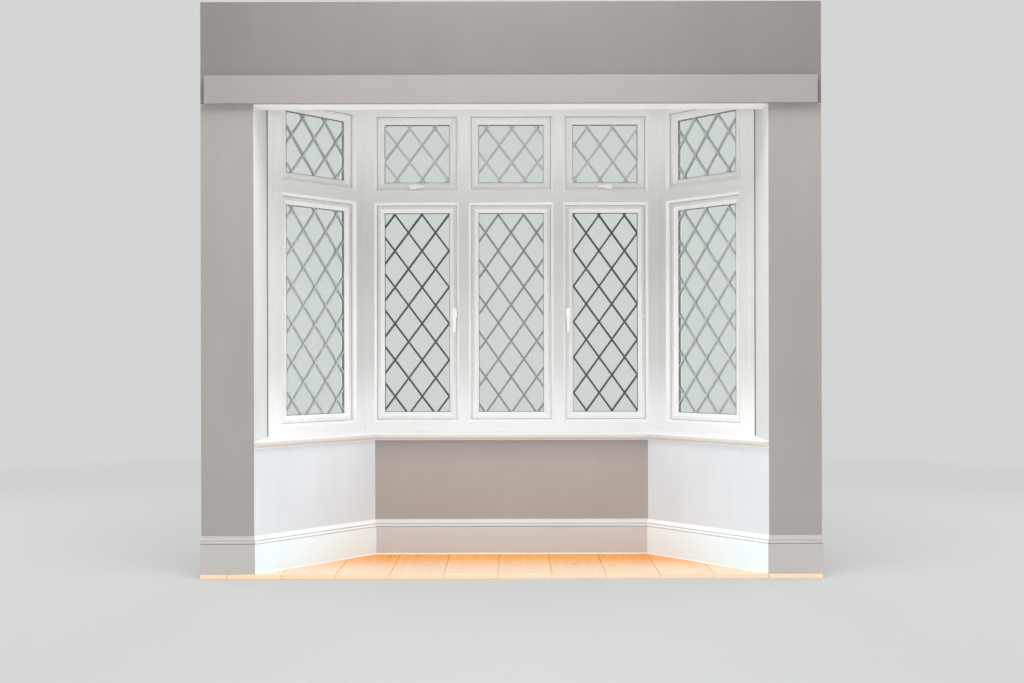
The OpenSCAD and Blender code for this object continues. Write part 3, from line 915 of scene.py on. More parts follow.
@dataclass(frozen=True)
class Brick:
    """Fired clay with its own tone for each brick, sandy creases and dark burnt spots."""

    name: str = "clay_brick"
    red: Colour = (0.40, 0.155, 0.085)
    brown: Colour = (0.22, 0.085, 0.055)
    buff: Colour = (0.56, 0.30, 0.17)
    buff_share: float = 0.6
    dark_sand: Colour = (0.16, 0.07, 0.05)
    sand: Grain = Grain(120.0, 6.0, 0.7)
    sand_span: Span = (0.25, 0.75)
    sand_share: float = 0.5
    sand_depth: float = 0.0010
    burnt: Colour = (0.075, 0.05, 0.045)
    spots: Grain = Grain(16.0, 5.0, 0.6)
    spot_span: Span = (0.62, 0.76)
    spot_share: float = 0.7
    salt: Colour = (0.62, 0.56, 0.50)
    salting: Grain = Grain(7.0, 6.0, 0.7)
    salt_span: Span = (0.60, 0.85)
    salt_share: float = 0.25
    creases: Grain = Grain(26.0, 5.0, 0.65, (1.0, 1.0, 2.6))
    crease_depth: float = 0.003
    roughness: float = 0.80
    roughness_spread: float = 0.12

    def build(self) -> bpy.types.Material:
        """Makes the material.

        Returns:
            The material.
        """
        s = Shader(self.name)
        shade, warm, _ = s.tones()
        body = s.blend(shade, self.red, self.brown)
        body = s.blend(warm * self.buff_share, body, self.buff)
        sand = s.noise(self.sand)
        body = s.blend(s.ramp(sand, *self.sand_span) * self.sand_share, body, self.dark_sand)
        for grain, span, share, colour in ((self.spots, self.spot_span, self.spot_share, self.burnt),
                                           (self.salting, self.salt_span, self.salt_share, self.salt)):
            body = s.blend(s.ramp(s.noise(grain), *span) * share, body, colour)
        relief = s.bump(sand, self.sand_depth, s.bump(s.noise(self.creases), self.crease_depth))
        return s.finish(Base_Color=body, Roughness=sand * self.roughness_spread + self.roughness,
                        Normal=relief)


@dataclass(frozen=True)
class Mortar:
    """Sandy mortar."""

    name: str = "mortar"
    colour: Colour = (0.62, 0.575, 0.50)
    damp: Grain = Grain(3.0, 5.0, 0.6)
    damp_span: Span = (0.35, 0.7)
    damp_dim: float = 0.66
    damp_share: float = 0.5
    grit: Grain = Grain(240.0, 6.0, 0.75)
    grit_span: Span = (0.55, 0.75)
    grit_share: float = 0.5
    grit_colour: Colour = (0.30, 0.26, 0.21)
    grit_depth: float = 0.0012
    roughness: float = 0.92

    def build(self) -> bpy.types.Material:
        """Makes the material.

        Returns:
            The material.
        """
        s = Shader(self.name)
        damp = s.ramp(s.noise(self.damp), *self.damp_span) * self.damp_share
        tone = s.blend(damp, self.colour, shaded(self.colour, self.damp_dim))
        grit = s.noise(self.grit)
        tone = s.blend(s.ramp(grit, *self.grit_span) * self.grit_share, tone, self.grit_colour)
        return s.finish(Base_Color=tone, Roughness=self.roughness, Normal=s.bump(grit, self.grit_depth))


@dataclass(frozen=True)
class PlainGrain:
    """One colour with a darker or lighter one along its grain: sawn timber, or dull rubber."""

    name: str = "seal_rubber"
    colour: Colour = (0.060, 0.062, 0.065)
    grain: Grain = Grain(150.0, 4.0, 0.6)
    span: Span = (0.35, 0.75)
    share: float = 0.5
    other: float = 2.4
    roughness: float = 0.5
    roughness_spread: float = 0.2
    depth: float = 0.0002

    def build(self) -> bpy.types.Material:
        """Makes the material.

        Returns:
            The material.
        """
        s = Shader(self.name)
        grain = s.noise(self.grain)
        tone = s.blend(s.ramp(grain, *self.span) * self.share, self.colour, shaded(self.colour, self.other))
        return s.finish(Base_Color=tone, Roughness=grain * self.roughness_spread + self.roughness,
                        Normal=s.bump(grain, self.depth))


class Palette:
    """Every finish of the bay, made once."""

    quirks: tuple[float, ...] = (0.1545, 0.1705)
    mould_foot: float = 0.157
    board_nose: float = 0.001
    sawn: Grain = Grain(30.0, 5.0, 0.6, (0.15, 1.0, 1.0))

    def __init__(self) -> None:
        """Builds all the materials."""
        self.oak = OakBoard().build()
        # The front and side dwarf walls share one paint: the darker, warmer front colour is painted shade, the
        # lighter, bluer side colour painted light.
        self.front_wall = RolledPaint("front_wall_paint", (0.385, 0.349, 0.328),
                                      under=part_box("window_board_front")[0].z).build()
        self.side_wall = RolledPaint("side_wall_paint", (0.665, 0.702, 0.745)).build()
        # Beside and over the opening the wall has one paint: the darker over colour is painted shade, and the
        # soffit's white, lighter than the reveal's, painted light.
        self.beside = HouseWallPaint("wall_paint_beside", (0.330, 0.315, 0.296),
                                     white=(0.76, 0.76, 0.755)).build()
        self.over = HouseWallPaint("wall_paint_over", (0.200, 0.187, 0.177), zone=Zone.OVER,
                                   white=(0.93, 0.93, 0.925)).build()
        self.ceiling = RolledPaint("ceiling_paint", (0.89, 0.89, 0.88)).build()
        self.sealant = RolledPaint("sealant", (0.84, 0.84, 0.82), 0.45, 0.0001).build()
        # Frame, sash and beads are one white plastic: the darker frame and sash whites are painted shade, the
        # lighter bead white painted light.
        self.frame = WhitePlastic("frame_plastic", (0.60, 0.60, 0.598), painted_end_light=True).build()
        self.sash = WhitePlastic("sash_plastic", (0.64, 0.64, 0.638), 0.20, painted_end_light=True).build()
        self.bead = WhitePlastic("bead_plastic", (0.945, 0.945, 0.945), 0.18).build()
        self.outside_plastic = WhitePlastic("outside_plastic", (0.68, 0.68, 0.665), 0.30,
                                            dust_share=0.35).build()
        self.handle = WhitePlastic("handle_paint", (0.88, 0.88, 0.865), 0.16).build()
        # The board's nose and underside take a darker colour: painted shade.
        self.board = BrushedPaint("window_board_paint", (0.93, 0.93, 0.925),
                                  painted_shade_below=PLAN.board_top - self.board_nose).build()
        # The skirtings share one white paint: the darker front one and the one beside the bay are painted
        # shade, the lighter, bluer side ones painted light; each one's second colour below the mould is painted
        # light too.
        self.skirting = self.skirting_paint("skirting_paint", (0.66, 0.67, 0.685), (0.55, 0.565, 0.585))
        self.skirting_side = self.skirting_paint("side_skirting_paint", (0.84, 0.875, 0.89),
                                                 (0.79, 0.90, 0.965))
        self.skirting_beside = self.skirting_paint("beside_skirting_paint", (0.505, 0.481, 0.466),
                                                   (0.476, 0.458, 0.444))
        self.fixing = BrushedPaint("fixing_board_paint", (0.318, 0.298, 0.284)).build()
        self.glass = Glass().build()
        self.spacer = Metal("spacer_bar", (0.58, 0.59, 0.60), (0.45, 0.46, 0.47), 0.35, 0.9, 0.3).build()
        self.lead = Metal("lead_sheet", (0.20, 0.215, 0.235), (0.42, 0.43, 0.44), 0.5, 0.5).build()
        self.came = Came().build()
        self.brick = Brick().build()
        self.mortar = Mortar().build()
        self.bed = Mortar("board_bed", (0.045, 0.035, 0.028)).build()
        self.timber = PlainGrain("sawn_timber", (0.60, 0.43, 0.26), self.sawn, (0.3, 0.7), 1.0, 0.6,
                                 0.75, 0.1, 0.0008).build()
        self.gasket = PlainGrain().build()
        self.joint = PlainGrain("joint_shadow", (0.105, 0.097, 0.088)).build()
        self.sash_seal = PlainGrain("sash_seal", (0.30, 0.30, 0.295)).build()

    def skirting_paint(self, name: str, colour: Colour, tone_with_painted_light: Colour) -> bpy.types.Material:
        """The paint of one skirting, with painted light below its mould."""
        return BrushedPaint(name, colour, self.quirks, self.mould_foot, tone_with_painted_light).build()


def clipped(outline: Sequence[Point], normal: Point, limit: float) -> list[Point]:
    """Keeps the part of an outline that lies on the near side of a line.

    Args:
        outline: The outline's points in order.
        normal: The line's unit normal, pointing to the side that goes.
        limit: The line's distance from the origin along the normal.

    Returns:
        The points of the part that is left.
    """
    kept: list[Point] = []
    reach = [p[0] * normal[0] + p[1] * normal[1] - limit for p in outline]
    for index, here in enumerate(outline):
        before = outline[index - 1]
        now, then = reach[index], reach[index - 1]
        if (now > 0.0) != (then > 0.0):
            share = then / (then - now)
            kept.append(tuple(a + (b - a) * share for a, b in zip(before, here)))
        if now <= 0.0:
            kept.append(here)
    return kept


def area(outline: Sequence[Point]) -> float:
    """The signed area of an outline, positive when it runs anticlockwise."""
    pairs = zip(outline, [*outline[1:], outline[0]])
    return sum(a[0] * b[1] - b[0] * a[1] for a, b in pairs) / 2 if outline else 0.0


def both(points: Sequence[Point]) -> list[Point]:
    """An outline closed by the mirror twins of its right-hand points."""
    return [*points, *[(-x, y) for x, y in reversed(points)]]


class Maker:
    """Gathers prisms and strips in one mesh, with a tone for each piece."""

    def __init__(self) -> None:
        """Starts an empty mesh."""
        self.mesh = bmesh.new()
        self.tone = self.mesh.loops.layers.float_color.new(TONE)

    def ring(self, points: Iterable[Sequence[float]]) -> list[bmesh.types.BMVert]:
        """Adds a vertex at each point."""
        return [self.mesh.verts.new(point) for point in points]

    def skin(self, rings: Sequence[list[bmesh.types.BMVert]], tone: Colour,
             slot: int) -> list[bmesh.types.BMFace]:
        """Adds the faces of a closed section that runs through rings of vertices.

        Args:
            rings: The section's vertices at each place, all in the same order.
            tone: The piece's own tone.
            slot: The material's index.

        Returns:
            The two end faces, then those between the rings.
        """
        faces = [self.mesh.faces.new(rings[0]), self.mesh.faces.new(rings[-1][::-1])]
        for first, second in zip(rings, rings[1:]):
            for index in range(len(first)):
                after = (index + 1) % len(first)
                faces.append(self.mesh.faces.new([first[after], first[index], second[index], second[after]]))
        for made in faces:
            made.material_index = slot
            for loop in made.loops:
                loop[self.tone] = (*tone, 1.0)
        return faces

    def prism(self, outline: Sequence[Point], low: float, high: float, tone: Colour = MID_TONE,
              slot: int = 0, round_off: float = 0.0, keep: Optional[Callable[[Vector], bool]] = None) -> None:
        """Adds an upright prism, with its edges taken off.

        Args:
            outline: The plan, in either direction.
            low: The height of its foot.
            high: The height of its top.
            tone: The piece's own tone.
            slot: The material's index.
            round_off: The width taken off the edges.
            keep: Says which points lie where edges stay sharp.
        """
        plan = list(outline) if area(outline) > 0.0 else list(reversed(outline))
        foot = self.ring((x, y, low) for x, y in plan)
        top = self.ring((x, y, high) for x, y in plan)
        faces = self.skin([top, foot], tone, slot)
        if round_off > 0.0:
            edges = dict.fromkeys(edge for made in faces for edge in made.edges)
            chosen = [e for e in edges if keep is None or not all(keep(v.co) for v in e.verts)]
            bmesh.ops.bevel(self.mesh, geom=chosen, offset=round_off, segments=1, affect="EDGES",
                            clamp_overlap=True, material=-1)

    def sweep(self, stations: Sequence[Sequence[Vector]]) -> None:
        """Adds a closed section carried through stations, its points in the same order at each."""
        faces = self.skin([self.ring(points) for points in stations], MID_TONE, 0)
        bmesh.ops.recalc_face_normals(self.mesh, faces=faces)

    def done(self, mirrored: bool = False) -> bpy.types.Mesh:
        """Turns what was gathered into a mesh.

        Args:
            mirrored: Whether to mirror it to the left side.

        Returns:
            The mesh.
        """
        if mirrored:
            bmesh.ops.scale(self.mesh, vec=(-1.0, 1.0, 1.0), verts=self.mesh.verts)
            bmesh.ops.reverse_faces(self.mesh, faces=self.mesh.faces)
        return as_mesh(self.mesh)


def as_mesh(gathered: bmesh.types.BMesh) -> bpy.types.Mesh:
    """Turns an edit mesh into a plain one, and frees it.

    Args:
        gathered: The edit mesh.

    Returns:
        The plain mesh.
    """
    mesh = bpy.data.meshes.new("piece")
    gathered.to_mesh(mesh)
    gathered.free()
    return mesh


def add_piece(name: str, mesh: bpy.types.Mesh, materials: Sequence[bpy.types.Material],
              stands_for: Sequence[str] = ()) -> None:
    """Puts a finished mesh in the scene, riding on the bay.

    Args:
        name: The piece's name.
        mesh: Its mesh, already in place.
        materials: Its materials in order.
        stands_for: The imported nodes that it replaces.
    """
    mesh.name = name
    mesh.materials.clear()
    for material in materials:
        mesh.materials.append(material)
    piece = bpy.data.objects.new(name, mesh)
    bpy.context.scene.collection.objects.link(piece)
    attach(piece, BODY)
    if stands_for:
        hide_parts(*stands_for)
    LOG.info("%s: %d faces", name, len(mesh.polygons))


def moved(mesh: bpy.types.Mesh, matrix: Matrix) -> bpy.types.Mesh:
    """Applies a matrix to a mesh, and turns its faces back where the matrix mirrors.

    Args:
        mesh: The mesh, which is changed.
        matrix: The matrix.

    Returns:
        The same mesh.
    """
    mesh.transform(matrix)
    if matrix.determinant() < 0.0:
        mesh.flip_normals()
    return mesh


def paint(mesh: bpy.types.Mesh, flat: float, edge: float, level: float = 0.95) -> None:
    """Writes a tone over a mesh for its finish to read.

    Args:
        mesh: The mesh.
        flat: The tone of its faces along Y.
        edge: The tone of the other faces.
        level: How straight a face has to look along Y.
    """
    layer = mesh.color_attributes.new(TONE, "FLOAT_COLOR", "CORNER")
    tones: list[float] = []
    for face in mesh.polygons:
        own = flat if abs(face.normal.y) > level else edge
        tones.extend((own, *MID_TONE[1:], 1.0) * face.loop_total)
    layer.data.foreach_set("color", tones)


def joined(meshes: Iterable[bpy.types.Mesh]) -> bpy.types.Mesh:
    """Puts several meshes into one and removes them.

    Args:
        meshes: The meshes.

    Returns:
        The one mesh.
    """
    whole = bmesh.new()
    for mesh in meshes:
        whole.from_mesh(mesh)
        bpy.data.meshes.remove(mesh)
    return as_mesh(whole)


@dataclass
class BrickLeaf:
    """One wall of bricks in stretcher bond, cut to the wall's outline, on a core of mortar."""

    outline: list[Point]
    start: Point
    along: Point
    low: float
    high: float
    first_joints: tuple[float, float]
    cut_faces: list[Plane]
    arrises: list[Plane] = field(default_factory=list)
    top_shows: bool = False
    course: float = 0.075
    joint: float = 0.010
    stretcher: float = 0.225
    recess: float = 0.005
    proud: float = 0.0012
    edge: float = 0.0022
    least_rise: float = 0.004
    least_height: float = 0.008
    least_area: float = 0.0006
    on_plane: float = 0.0002
    shade_power: float = 1.6
    warm_power: float = 3
    corner_seed: int = 900

    def build(self, maker: Maker, chance: random.Random) -> None:
        """Lays the bricks and the mortar.

        Args:
            maker: The mesh that takes them.
            chance: The source of the bricks' small differences.
        """
        core = self.outline
        for normal, limit in self.cut_faces:
            core = clipped(core, normal, limit - self.recess)
        maker.prism(core, self.low, self.high - (self.recess if self.top_shows else 0.0), slot=1)
        row = 0
        while row * self.course < self.high - self.least_rise:
            foot = max(self.low, row * self.course)
            top = min(self.high, row * self.course + self.course - self.joint)
            if top - foot > self.least_height:
                self.lay_course(maker, chance, row, foot, top)
            row += 1

    def lay_course(self, maker: Maker, chance: random.Random, row: int, foot: float, top: float) -> None:
        """Lays one course.

        Args:
            maker: The mesh that takes it.
            chance: The source of small differences.
            row: The course's number from the ground.
            foot: The height of the bricks' foot.
            top: The height of their top.
        """
        reach = [(p[0] - self.start[0]) * self.along[0] + (p[1] - self.start[1]) * self.along[1]
                 for p in self.outline]
        base = self.start[0] * self.along[0] + self.start[1] * self.along[1]
        place = self.first_joints[row % 2]
        while place > min(reach):
            place -= self.stretcher
        while place < max(reach):
            near = base + place + self.joint / 2
            far = base + place + self.stretcher - self.joint / 2
            brick = clipped(self.outline, (-self.along[0], -self.along[1]), -near)
            brick = clipped(brick, self.along, far)
            for normal, limit in self.cut_faces:
                brick = clipped(brick, normal, limit - chance.random() * self.proud)
            if len(brick) > 2 and abs(area(brick)) > self.least_area:
                turning = any(self.on_arris(Vector((*point, 0.0))) for point in brick)
                own = random.Random(self.corner_seed + row) if turning else chance
                tone = (own.random() ** self.shade_power, own.random() ** self.warm_power, own.random())
                maker.prism(brick, foot, top, tone, 0, self.edge, self.on_arris)
            place += self.stretcher

    def on_arris(self, point: Vector) -> bool:
        """Whether a point lies on a plane where one brick turns the corner."""
        return any(abs(point.x * n[0] + point.y * n[1] - limit) < self.on_plane for n, limit in self.arrises)


@dataclass
class Brickwork:
    """The outer leaf: dwarf walls under the windows, piers beside them and the wall over the roof."""

    front_seed: int = 11
    side_seed: int = 21
    pier_seed: int = 31
    header_seed: int = 51
    quarter: float = 0.0563
    three_quarters: float = 0.1688
    half: float = 0.1125
    plaster_t: float = 0.0125

    def build(self, palette: Palette) -> None:
        """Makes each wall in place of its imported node.

        Args:
            palette: The finishes.
        """
        self.wall(palette, "bricks_front", "brick_wall_front", self.front_seed, [self.front_leaf()])
        for number, (name, mirrored) in enumerate((("right", False), ("left", True))):
            self.wall(palette, f"bricks_{name}", f"brick_wall_{name}", self.side_seed + number,
                      [self.side_leaf(mirrored)], mirrored)
            self.wall(palette, f"bricks_pier_{name}", f"pier_brick_{name}", self.pier_seed + number,
                      self.pier_leaves(), mirrored)
        self.wall(palette, "bricks_header", "header_brick", self.header_seed, [self.header_leaf()])

    def wall(self, palette: Palette, name: str, node: str, seed: int, leaves: list[BrickLeaf],
             mirrored: bool = False) -> None:
        """Makes one wall of its leaves.

        Args:
            palette: The finishes.
            name: The piece's name.
            node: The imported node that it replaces.
            seed: What its small differences start from.
            leaves: Its leaves.
            mirrored: Whether to mirror it to the left side.
        """
        maker = Maker()
        for leaf in leaves:
            leaf.build(maker, random.Random(seed))
        add_piece(name, maker.done(mirrored), (palette.brick, palette.mortar), [node])

    def mitre(self) -> Plane:
        """Finds the upright plane through the right-hand corner.

        Returns:
            The plane's normal, which points to the right, and its distance.
        """
        inner, outer = PLAN.corner(0.0), PLAN.corner(PLAN.wall_t)
        length = math.dist(inner, outer)
        normal = ((outer[1] - inner[1]) / length, -(outer[0] - inner[0]) / length)
        return normal, inner[0] * normal[0] + inner[1] * normal[1]

    def front_leaf(self) -> BrickLeaf:
        """Draws the wall under the front windows.

        Returns:
            The leaf.
        """
        outline = both([PLAN.corner(PLAN.brick_in), PLAN.corner(PLAN.wall_t)])
        corner = PLAN.corner(PLAN.wall_t)
        normal, limit = self.mitre()
        return BrickLeaf(outline, (-corner[0], corner[1]), (1.0, 0.0), 0.0, PLAN.dwarf_top,
                         (self.three_quarters, self.quarter), [((0.0, 1.0), corner[1])],
                         [(normal, limit), ((-normal[0], normal[1]), limit)])

    def side_leaf(self, mirrored: bool) -> BrickLeaf:
        """Draws the wall under a side window, on the right.

        Args:
            mirrored: Whether it will be mirrored to the left.

        Returns:
            The leaf.
        """
        y_out = PLAN.room_y + PLAN.wall_t
        corner = PLAN.corner(PLAN.wall_t)
        outline = [PLAN.corner(PLAN.brick_in), PLAN.side_at_x(PLAN.brick_in, PLAN.reveal_x),
                   (PLAN.reveal_x, y_out), PLAN.side_at_y(PLAN.wall_t, y_out), corner]
        along = (math.cos(PLAN.splay), -math.sin(PLAN.splay))
        outward = (math.sin(PLAN.splay), math.cos(PLAN.splay))
        limit = corner[0] * outward[0] + corner[1] * outward[1]
        joints = (self.quarter, self.three_quarters)
        return BrickLeaf(outline, corner, along, 0.0, PLAN.dwarf_top, joints if mirrored else joints[::-1],
                         [(outward, limit)], [self.mitre()])

    def pier_leaves(self) -> list[BrickLeaf]:
        """Draws the pier beside the bay, on the right.

        Returns:
            Its leaves below the sill and beside the window.
        """
        y_in, y_out = PLAN.room_y + PLAN.brick_in, PLAN.room_y + PLAN.wall_t
        low = [(PLAN.reveal_x, y_in), (PLAN.wall_x, y_in), (PLAN.wall_x, y_out), (PLAN.reveal_x, y_out)]
        inner_x = PLAN.reveal_x + self.plaster_t
        high = [(inner_x, y_in), (PLAN.wall_x, y_in), (PLAN.wall_x, y_out), PLAN.frame_end(y_out),
                PLAN.frame_end_at_x(inner_x)]
        faces = [((0.0, 1.0), y_out), ((1.0, 0.0), PLAN.wall_x)]
        return [BrickLeaf(outline, self.end_joint(y_out), (1.0, 0.0), foot, top, (0.0, self.half), faces)
                for outline, foot, top in ((low, 0.0, PLAN.dwarf_top),
                                           (high, PLAN.dwarf_top, self.header_foot()))]

    def header_leaf(self) -> BrickLeaf:
        """Draws the house wall over the roof.

        Returns:
            The leaf.
        """
        y_in, y_out = PLAN.room_y + PLAN.brick_in, PLAN.room_y + PLAN.wall_t
        outline = both([(PLAN.wall_x, y_in), (PLAN.wall_x, y_out)])
        faces = [((0.0, 1.0), y_out), ((1.0, 0.0), PLAN.wall_x), ((-1.0, 0.0), PLAN.wall_x)]
        return BrickLeaf(outline, self.end_joint(y_out), (1.0, 0.0), self.header_foot(), PLAN.wall_top,
                         (0.0, self.half), faces, top_shows=True)

    def end_joint(self, y: float) -> Point:
        """The middle of the joint just past the wall's cut end, so that whole bricks end flush with it."""
        return PLAN.wall_x + BrickLeaf.joint / 2, y

    def header_foot(self) -> float:
        """The first bed joint over the frames, where the piers' bricks end and the header's begin."""
        return math.ceil(PLAN.frame_top / BrickLeaf.course) * BrickLeaf.course


@dataclass
class OakFloor:
    """Wide oak boards that run out into the bay."""

    pitch: float = 0.2430
    joint_x: float = -0.0620
    gap: float = 0.0022
    arris: float = 0.0020
    bed_drop: float = 0.005
    bed_back: float = 0.004
    butt_row: int = 1
    butt_seen: float = 0.318
    butt_pitch: float = 1.9
    least_length: float = 0.05
    least_area: float = 0.0004
    least_flame: float = 0.35
    seed: int = 5

    def build(self, palette: Palette) -> None:
        """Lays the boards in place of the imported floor.

        Args:
            palette: The finishes.
        """
        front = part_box("floor")[0].y
        outline = both([(PLAN.wall_x, front), (PLAN.wall_x, PLAN.room_y), PLAN.side_at_y(0.0, PLAN.room_y),
                        PLAN.corner(0.0)])
        chance = random.Random(self.seed)
        maker = Maker()
        first = math.floor((-PLAN.wall_x - self.joint_x) / self.pitch)
        last = math.ceil((PLAN.wall_x - self.joint_x) / self.pitch)
        for number in range(first, last):
            left = self.joint_x + number * self.pitch
            strip = clipped(outline, (-1.0, 0.0), -(left + self.gap / 2))
            strip = clipped(strip, (1.0, 0.0), left + self.pitch - self.gap / 2)
            if not self.counts(strip):
                continue
            for board in self.lengths(strip, number, chance):
                shade, own, flame = chance.random(), chance.random(), chance.random()
                tone = (shade, own, self.least_flame + (1.0 - self.least_flame) * flame)
                maker.prism(board, 0.0, PLAN.floor_top, tone, 0, self.arris)
        bed = clipped(outline, (0.0, -1.0), -(front + self.bed_back))
        maker.prism(bed, 0.0, PLAN.floor_top - self.bed_drop, slot=1)
        add_piece("floor_boards", maker.done(), (palette.oak, palette.bed), ["floor"])

    def counts(self, outline: Sequence[Point]) -> bool:
        """Whether an outline is large enough for a board."""
        return len(outline) > 2 and abs(area(outline)) > self.least_area

    def lengths(self, strip: list[Point], number: int, chance: random.Random) -> list[list[Point]]:
        """Cuts a row of boards at its butt joint.

        Args:
            strip: The row's outline.
            number: The row's number from the middle.
            chance: The source of the joints' places.

        Returns:
            The outlines of the row's boards.
        """
        place = self.butt_seen if number == self.butt_row else chance.uniform(0.0, self.butt_pitch)
        y = PLAN.room_y + place
        if place > PLAN.depth - self.least_length:
            return [strip]
        near = clipped(strip, (0.0, 1.0), y - self.gap / 2)
        far = clipped(strip, (0.0, -1.0), -(y + self.gap / 2))
        return [part for part in (near, far) if self.counts(part)]


@dataclass(frozen=True)
class Lattice:
    """A lattice of leads: its pitch across, its lean, where each family of strips starts, and how pale its
    leads are, bloom with painted sheen.
    """

    pitch: float
    lean: float
    rising: float
    falling: float
    bloom_and_painted_sheen: float


@dataclass(frozen=True)
class Light:
    """One window light in its window's own axes: its opening in the frame, and its lead lattice."""

    name: str
    side: Side
    x: float
    z: float
    width: float
    height: float
    lattice: Lattice

    def inside(self, inset: float) -> tuple[float, float, float, float]:
        """The rectangle that lies within the opening by an inset, as a corner and two sizes."""
        return self.x + inset, self.z + inset, self.width - 2 * inset, self.height - 2 * inset


@dataclass
class Glazing:
    """The places of the lights and of what holds their glass, in each window's own axes."""

    sight: float = 0.0595
    mullion: float = 0.076
    corner_sight: float = 0.066
    make_up: float = 0.037
    transom: float = 0.0825
    top_height: float = 0.3745
    sash_gap: float = 0.0025
    sash_y: float = 0.025
    bead_in: float = 0.0375
    # The last number of each lattice is how pale its leads are: bloom and painted reflection, paler in the
    # middle, side and top lights.
    lattices: dict[str, Lattice] = field(default_factory=lambda: {
        "low_left": Lattice(0.1405, 0.745, 0.132, 0.111, 0.0),
        "low_middle": Lattice(0.1325, 0.708, 0.0395, 0.029, 0.30),
        "low_right": Lattice(0.1325, 0.72, 0.066, 0.0735, 0.0),
        "low_side_left": Lattice(0.1315, 0.70, 0.122, 0.090, 0.72),
        "low_side_right": Lattice(0.1325, 0.712, 0.101, 0.093, 0.72),
        "top_left": Lattice(0.132, 0.75, 0.046, 0.078, 0.78),
        "top_middle": Lattice(0.132, 0.75, 0.093, 0.120, 0.78),
        "top_right": Lattice(0.132, 0.74, 0.129, 0.025, 0.78),
        "top_side_left": Lattice(0.131, 0.72, 0.038, 0.048, 0.78),
        "top_side_right": Lattice(0.132, 0.70, 0.022, 0.045, 0.78),
    })

    def glass_faces(self) -> tuple[float, float]:
        """Measures the panes.

        Returns:
            How far their inner and outer faces lie outwards of the frame's inner face.
        """
        low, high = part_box("glass_front")
        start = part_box("frame_front")[0].y
        return low.y - start, high.y - start

    def lights(self) -> list[Light]:
        """Places every light.

        Returns:
            The ten lights, the lower row first.
        """
        frame_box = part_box("frame_front")
        length = frame_box[1].x - frame_box[0].x
        width = (length - 2 * self.sight - 2 * self.mullion) / 3
        low_z = PLAN.board_top + self.sight
        high_z = PLAN.frame_top - self.sight - self.top_height
        low_height = high_z - self.transom - low_z
        side_length = (PLAN.reveal_x - PLAN.corner(PLAN.setback)[0]) / math.cos(PLAN.splay)
        side_width = side_length - self.corner_sight - self.sight - self.make_up
        found: list[Light] = []
        for row, z, height in (("low", low_z, low_height), ("top", high_z, self.top_height)):
            for number, place in enumerate(("left", "middle", "right")):
                x = -length / 2 + self.sight + number * (width + self.mullion)
                name = f"{row}_{place}"
                found.append(Light(name, Side.FRONT, x, z, width, height, self.lattices[name]))
            for side in (Side.LEFT, Side.RIGHT):
                name = f"{row}_side_{side.name.lower()}"
                found.append(Light(name, side, self.corner_sight, z, side_width, height, self.lattices[name]))
        return found

    def at(self, side: Side) -> list[Light]:
        """The lights of one window."""
        return [light for light in self.lights() if light.side is side]


class GrowTree(Nodes):
    """A geometry tree with named inputs, which ends in plain faces of one material."""

    def __init__(self, name: str, labels: Sequence[str]) -> None:
        """Starts the tree.

        Args:
            name: The tree's name.
            labels: The names of its sizes.
        """
        super().__init__(bpy.data.node_groups.new(name, "GeometryNodeTree"))
        face = self.tree.interface
        face.new_socket("Geometry", in_out="OUTPUT", socket_type="NodeSocketGeometry")
        kinds = {label: "NodeSocketFloat" for label in labels} | {"Material": "NodeSocketMaterial"}
        self.keys: dict[str, str] = {}
        for label, kind in kinds.items():
            self.keys[label] = face.new_socket(label, in_out="INPUT", socket_type=kind).identifier
        self.entry = self.tree.nodes.new("NodeGroupInput")
        self.exit = self.tree.nodes.new("NodeGroupOutput")

    def size(self, label: str) -> Wire:
        """The wire of a named input."""
        return Wire(self.tree, self.entry.outputs[label])

    def place(self) -> tuple[Wire, ...]:
        """The three parts of each point's place."""
        return self.parts(self.wire("GeometryNodeInputPosition"))

    def turned(self, shape: Wire) -> Wire:
        """A shape turned upright, from facing up to facing -Y."""
        return self.wire("GeometryNodeTransform", Geometry=shape, Rotation=(math.pi / 2, 0.0, 0.0))

    def end(self, shape: Wire) -> None:
        """Realizes the shape, gives it its material and ends the tree.

        Args:
            shape: The finished shape.
        """
        real = self.wire("GeometryNodeRealizeInstances", Geometry=shape)
        dressed = self.wire("GeometryNodeSetMaterial", Geometry=real, Material=self.size("Material"))
        put(self.exit.inputs[0], dressed)

    def grown(self, **values: object) -> bpy.types.Mesh:
        """Runs the tree once.

        Args:
            values: Each input's value by its name, with underscores for spaces.

        Returns:
            The plain mesh that the tree makes.
        """
        seed = bpy.data.meshes.new("seed")
        holder = bpy.data.objects.new("holder", seed)
        bpy.context.scene.collection.objects.link(holder)
        modifier = holder.modifiers.new("grow", "NODES")
        modifier.node_group = self.tree
        for name, value in values.items():
            modifier[self.keys[name.replace("_", " ")]] = value
        holder.update_tag()
        graph = bpy.context.evaluated_depsgraph_get()
        mesh = bpy.data.meshes.new_from_object(holder.evaluated_get(graph))
        bpy.data.objects.remove(holder)
        bpy.data.meshes.remove(seed)
        return mesh


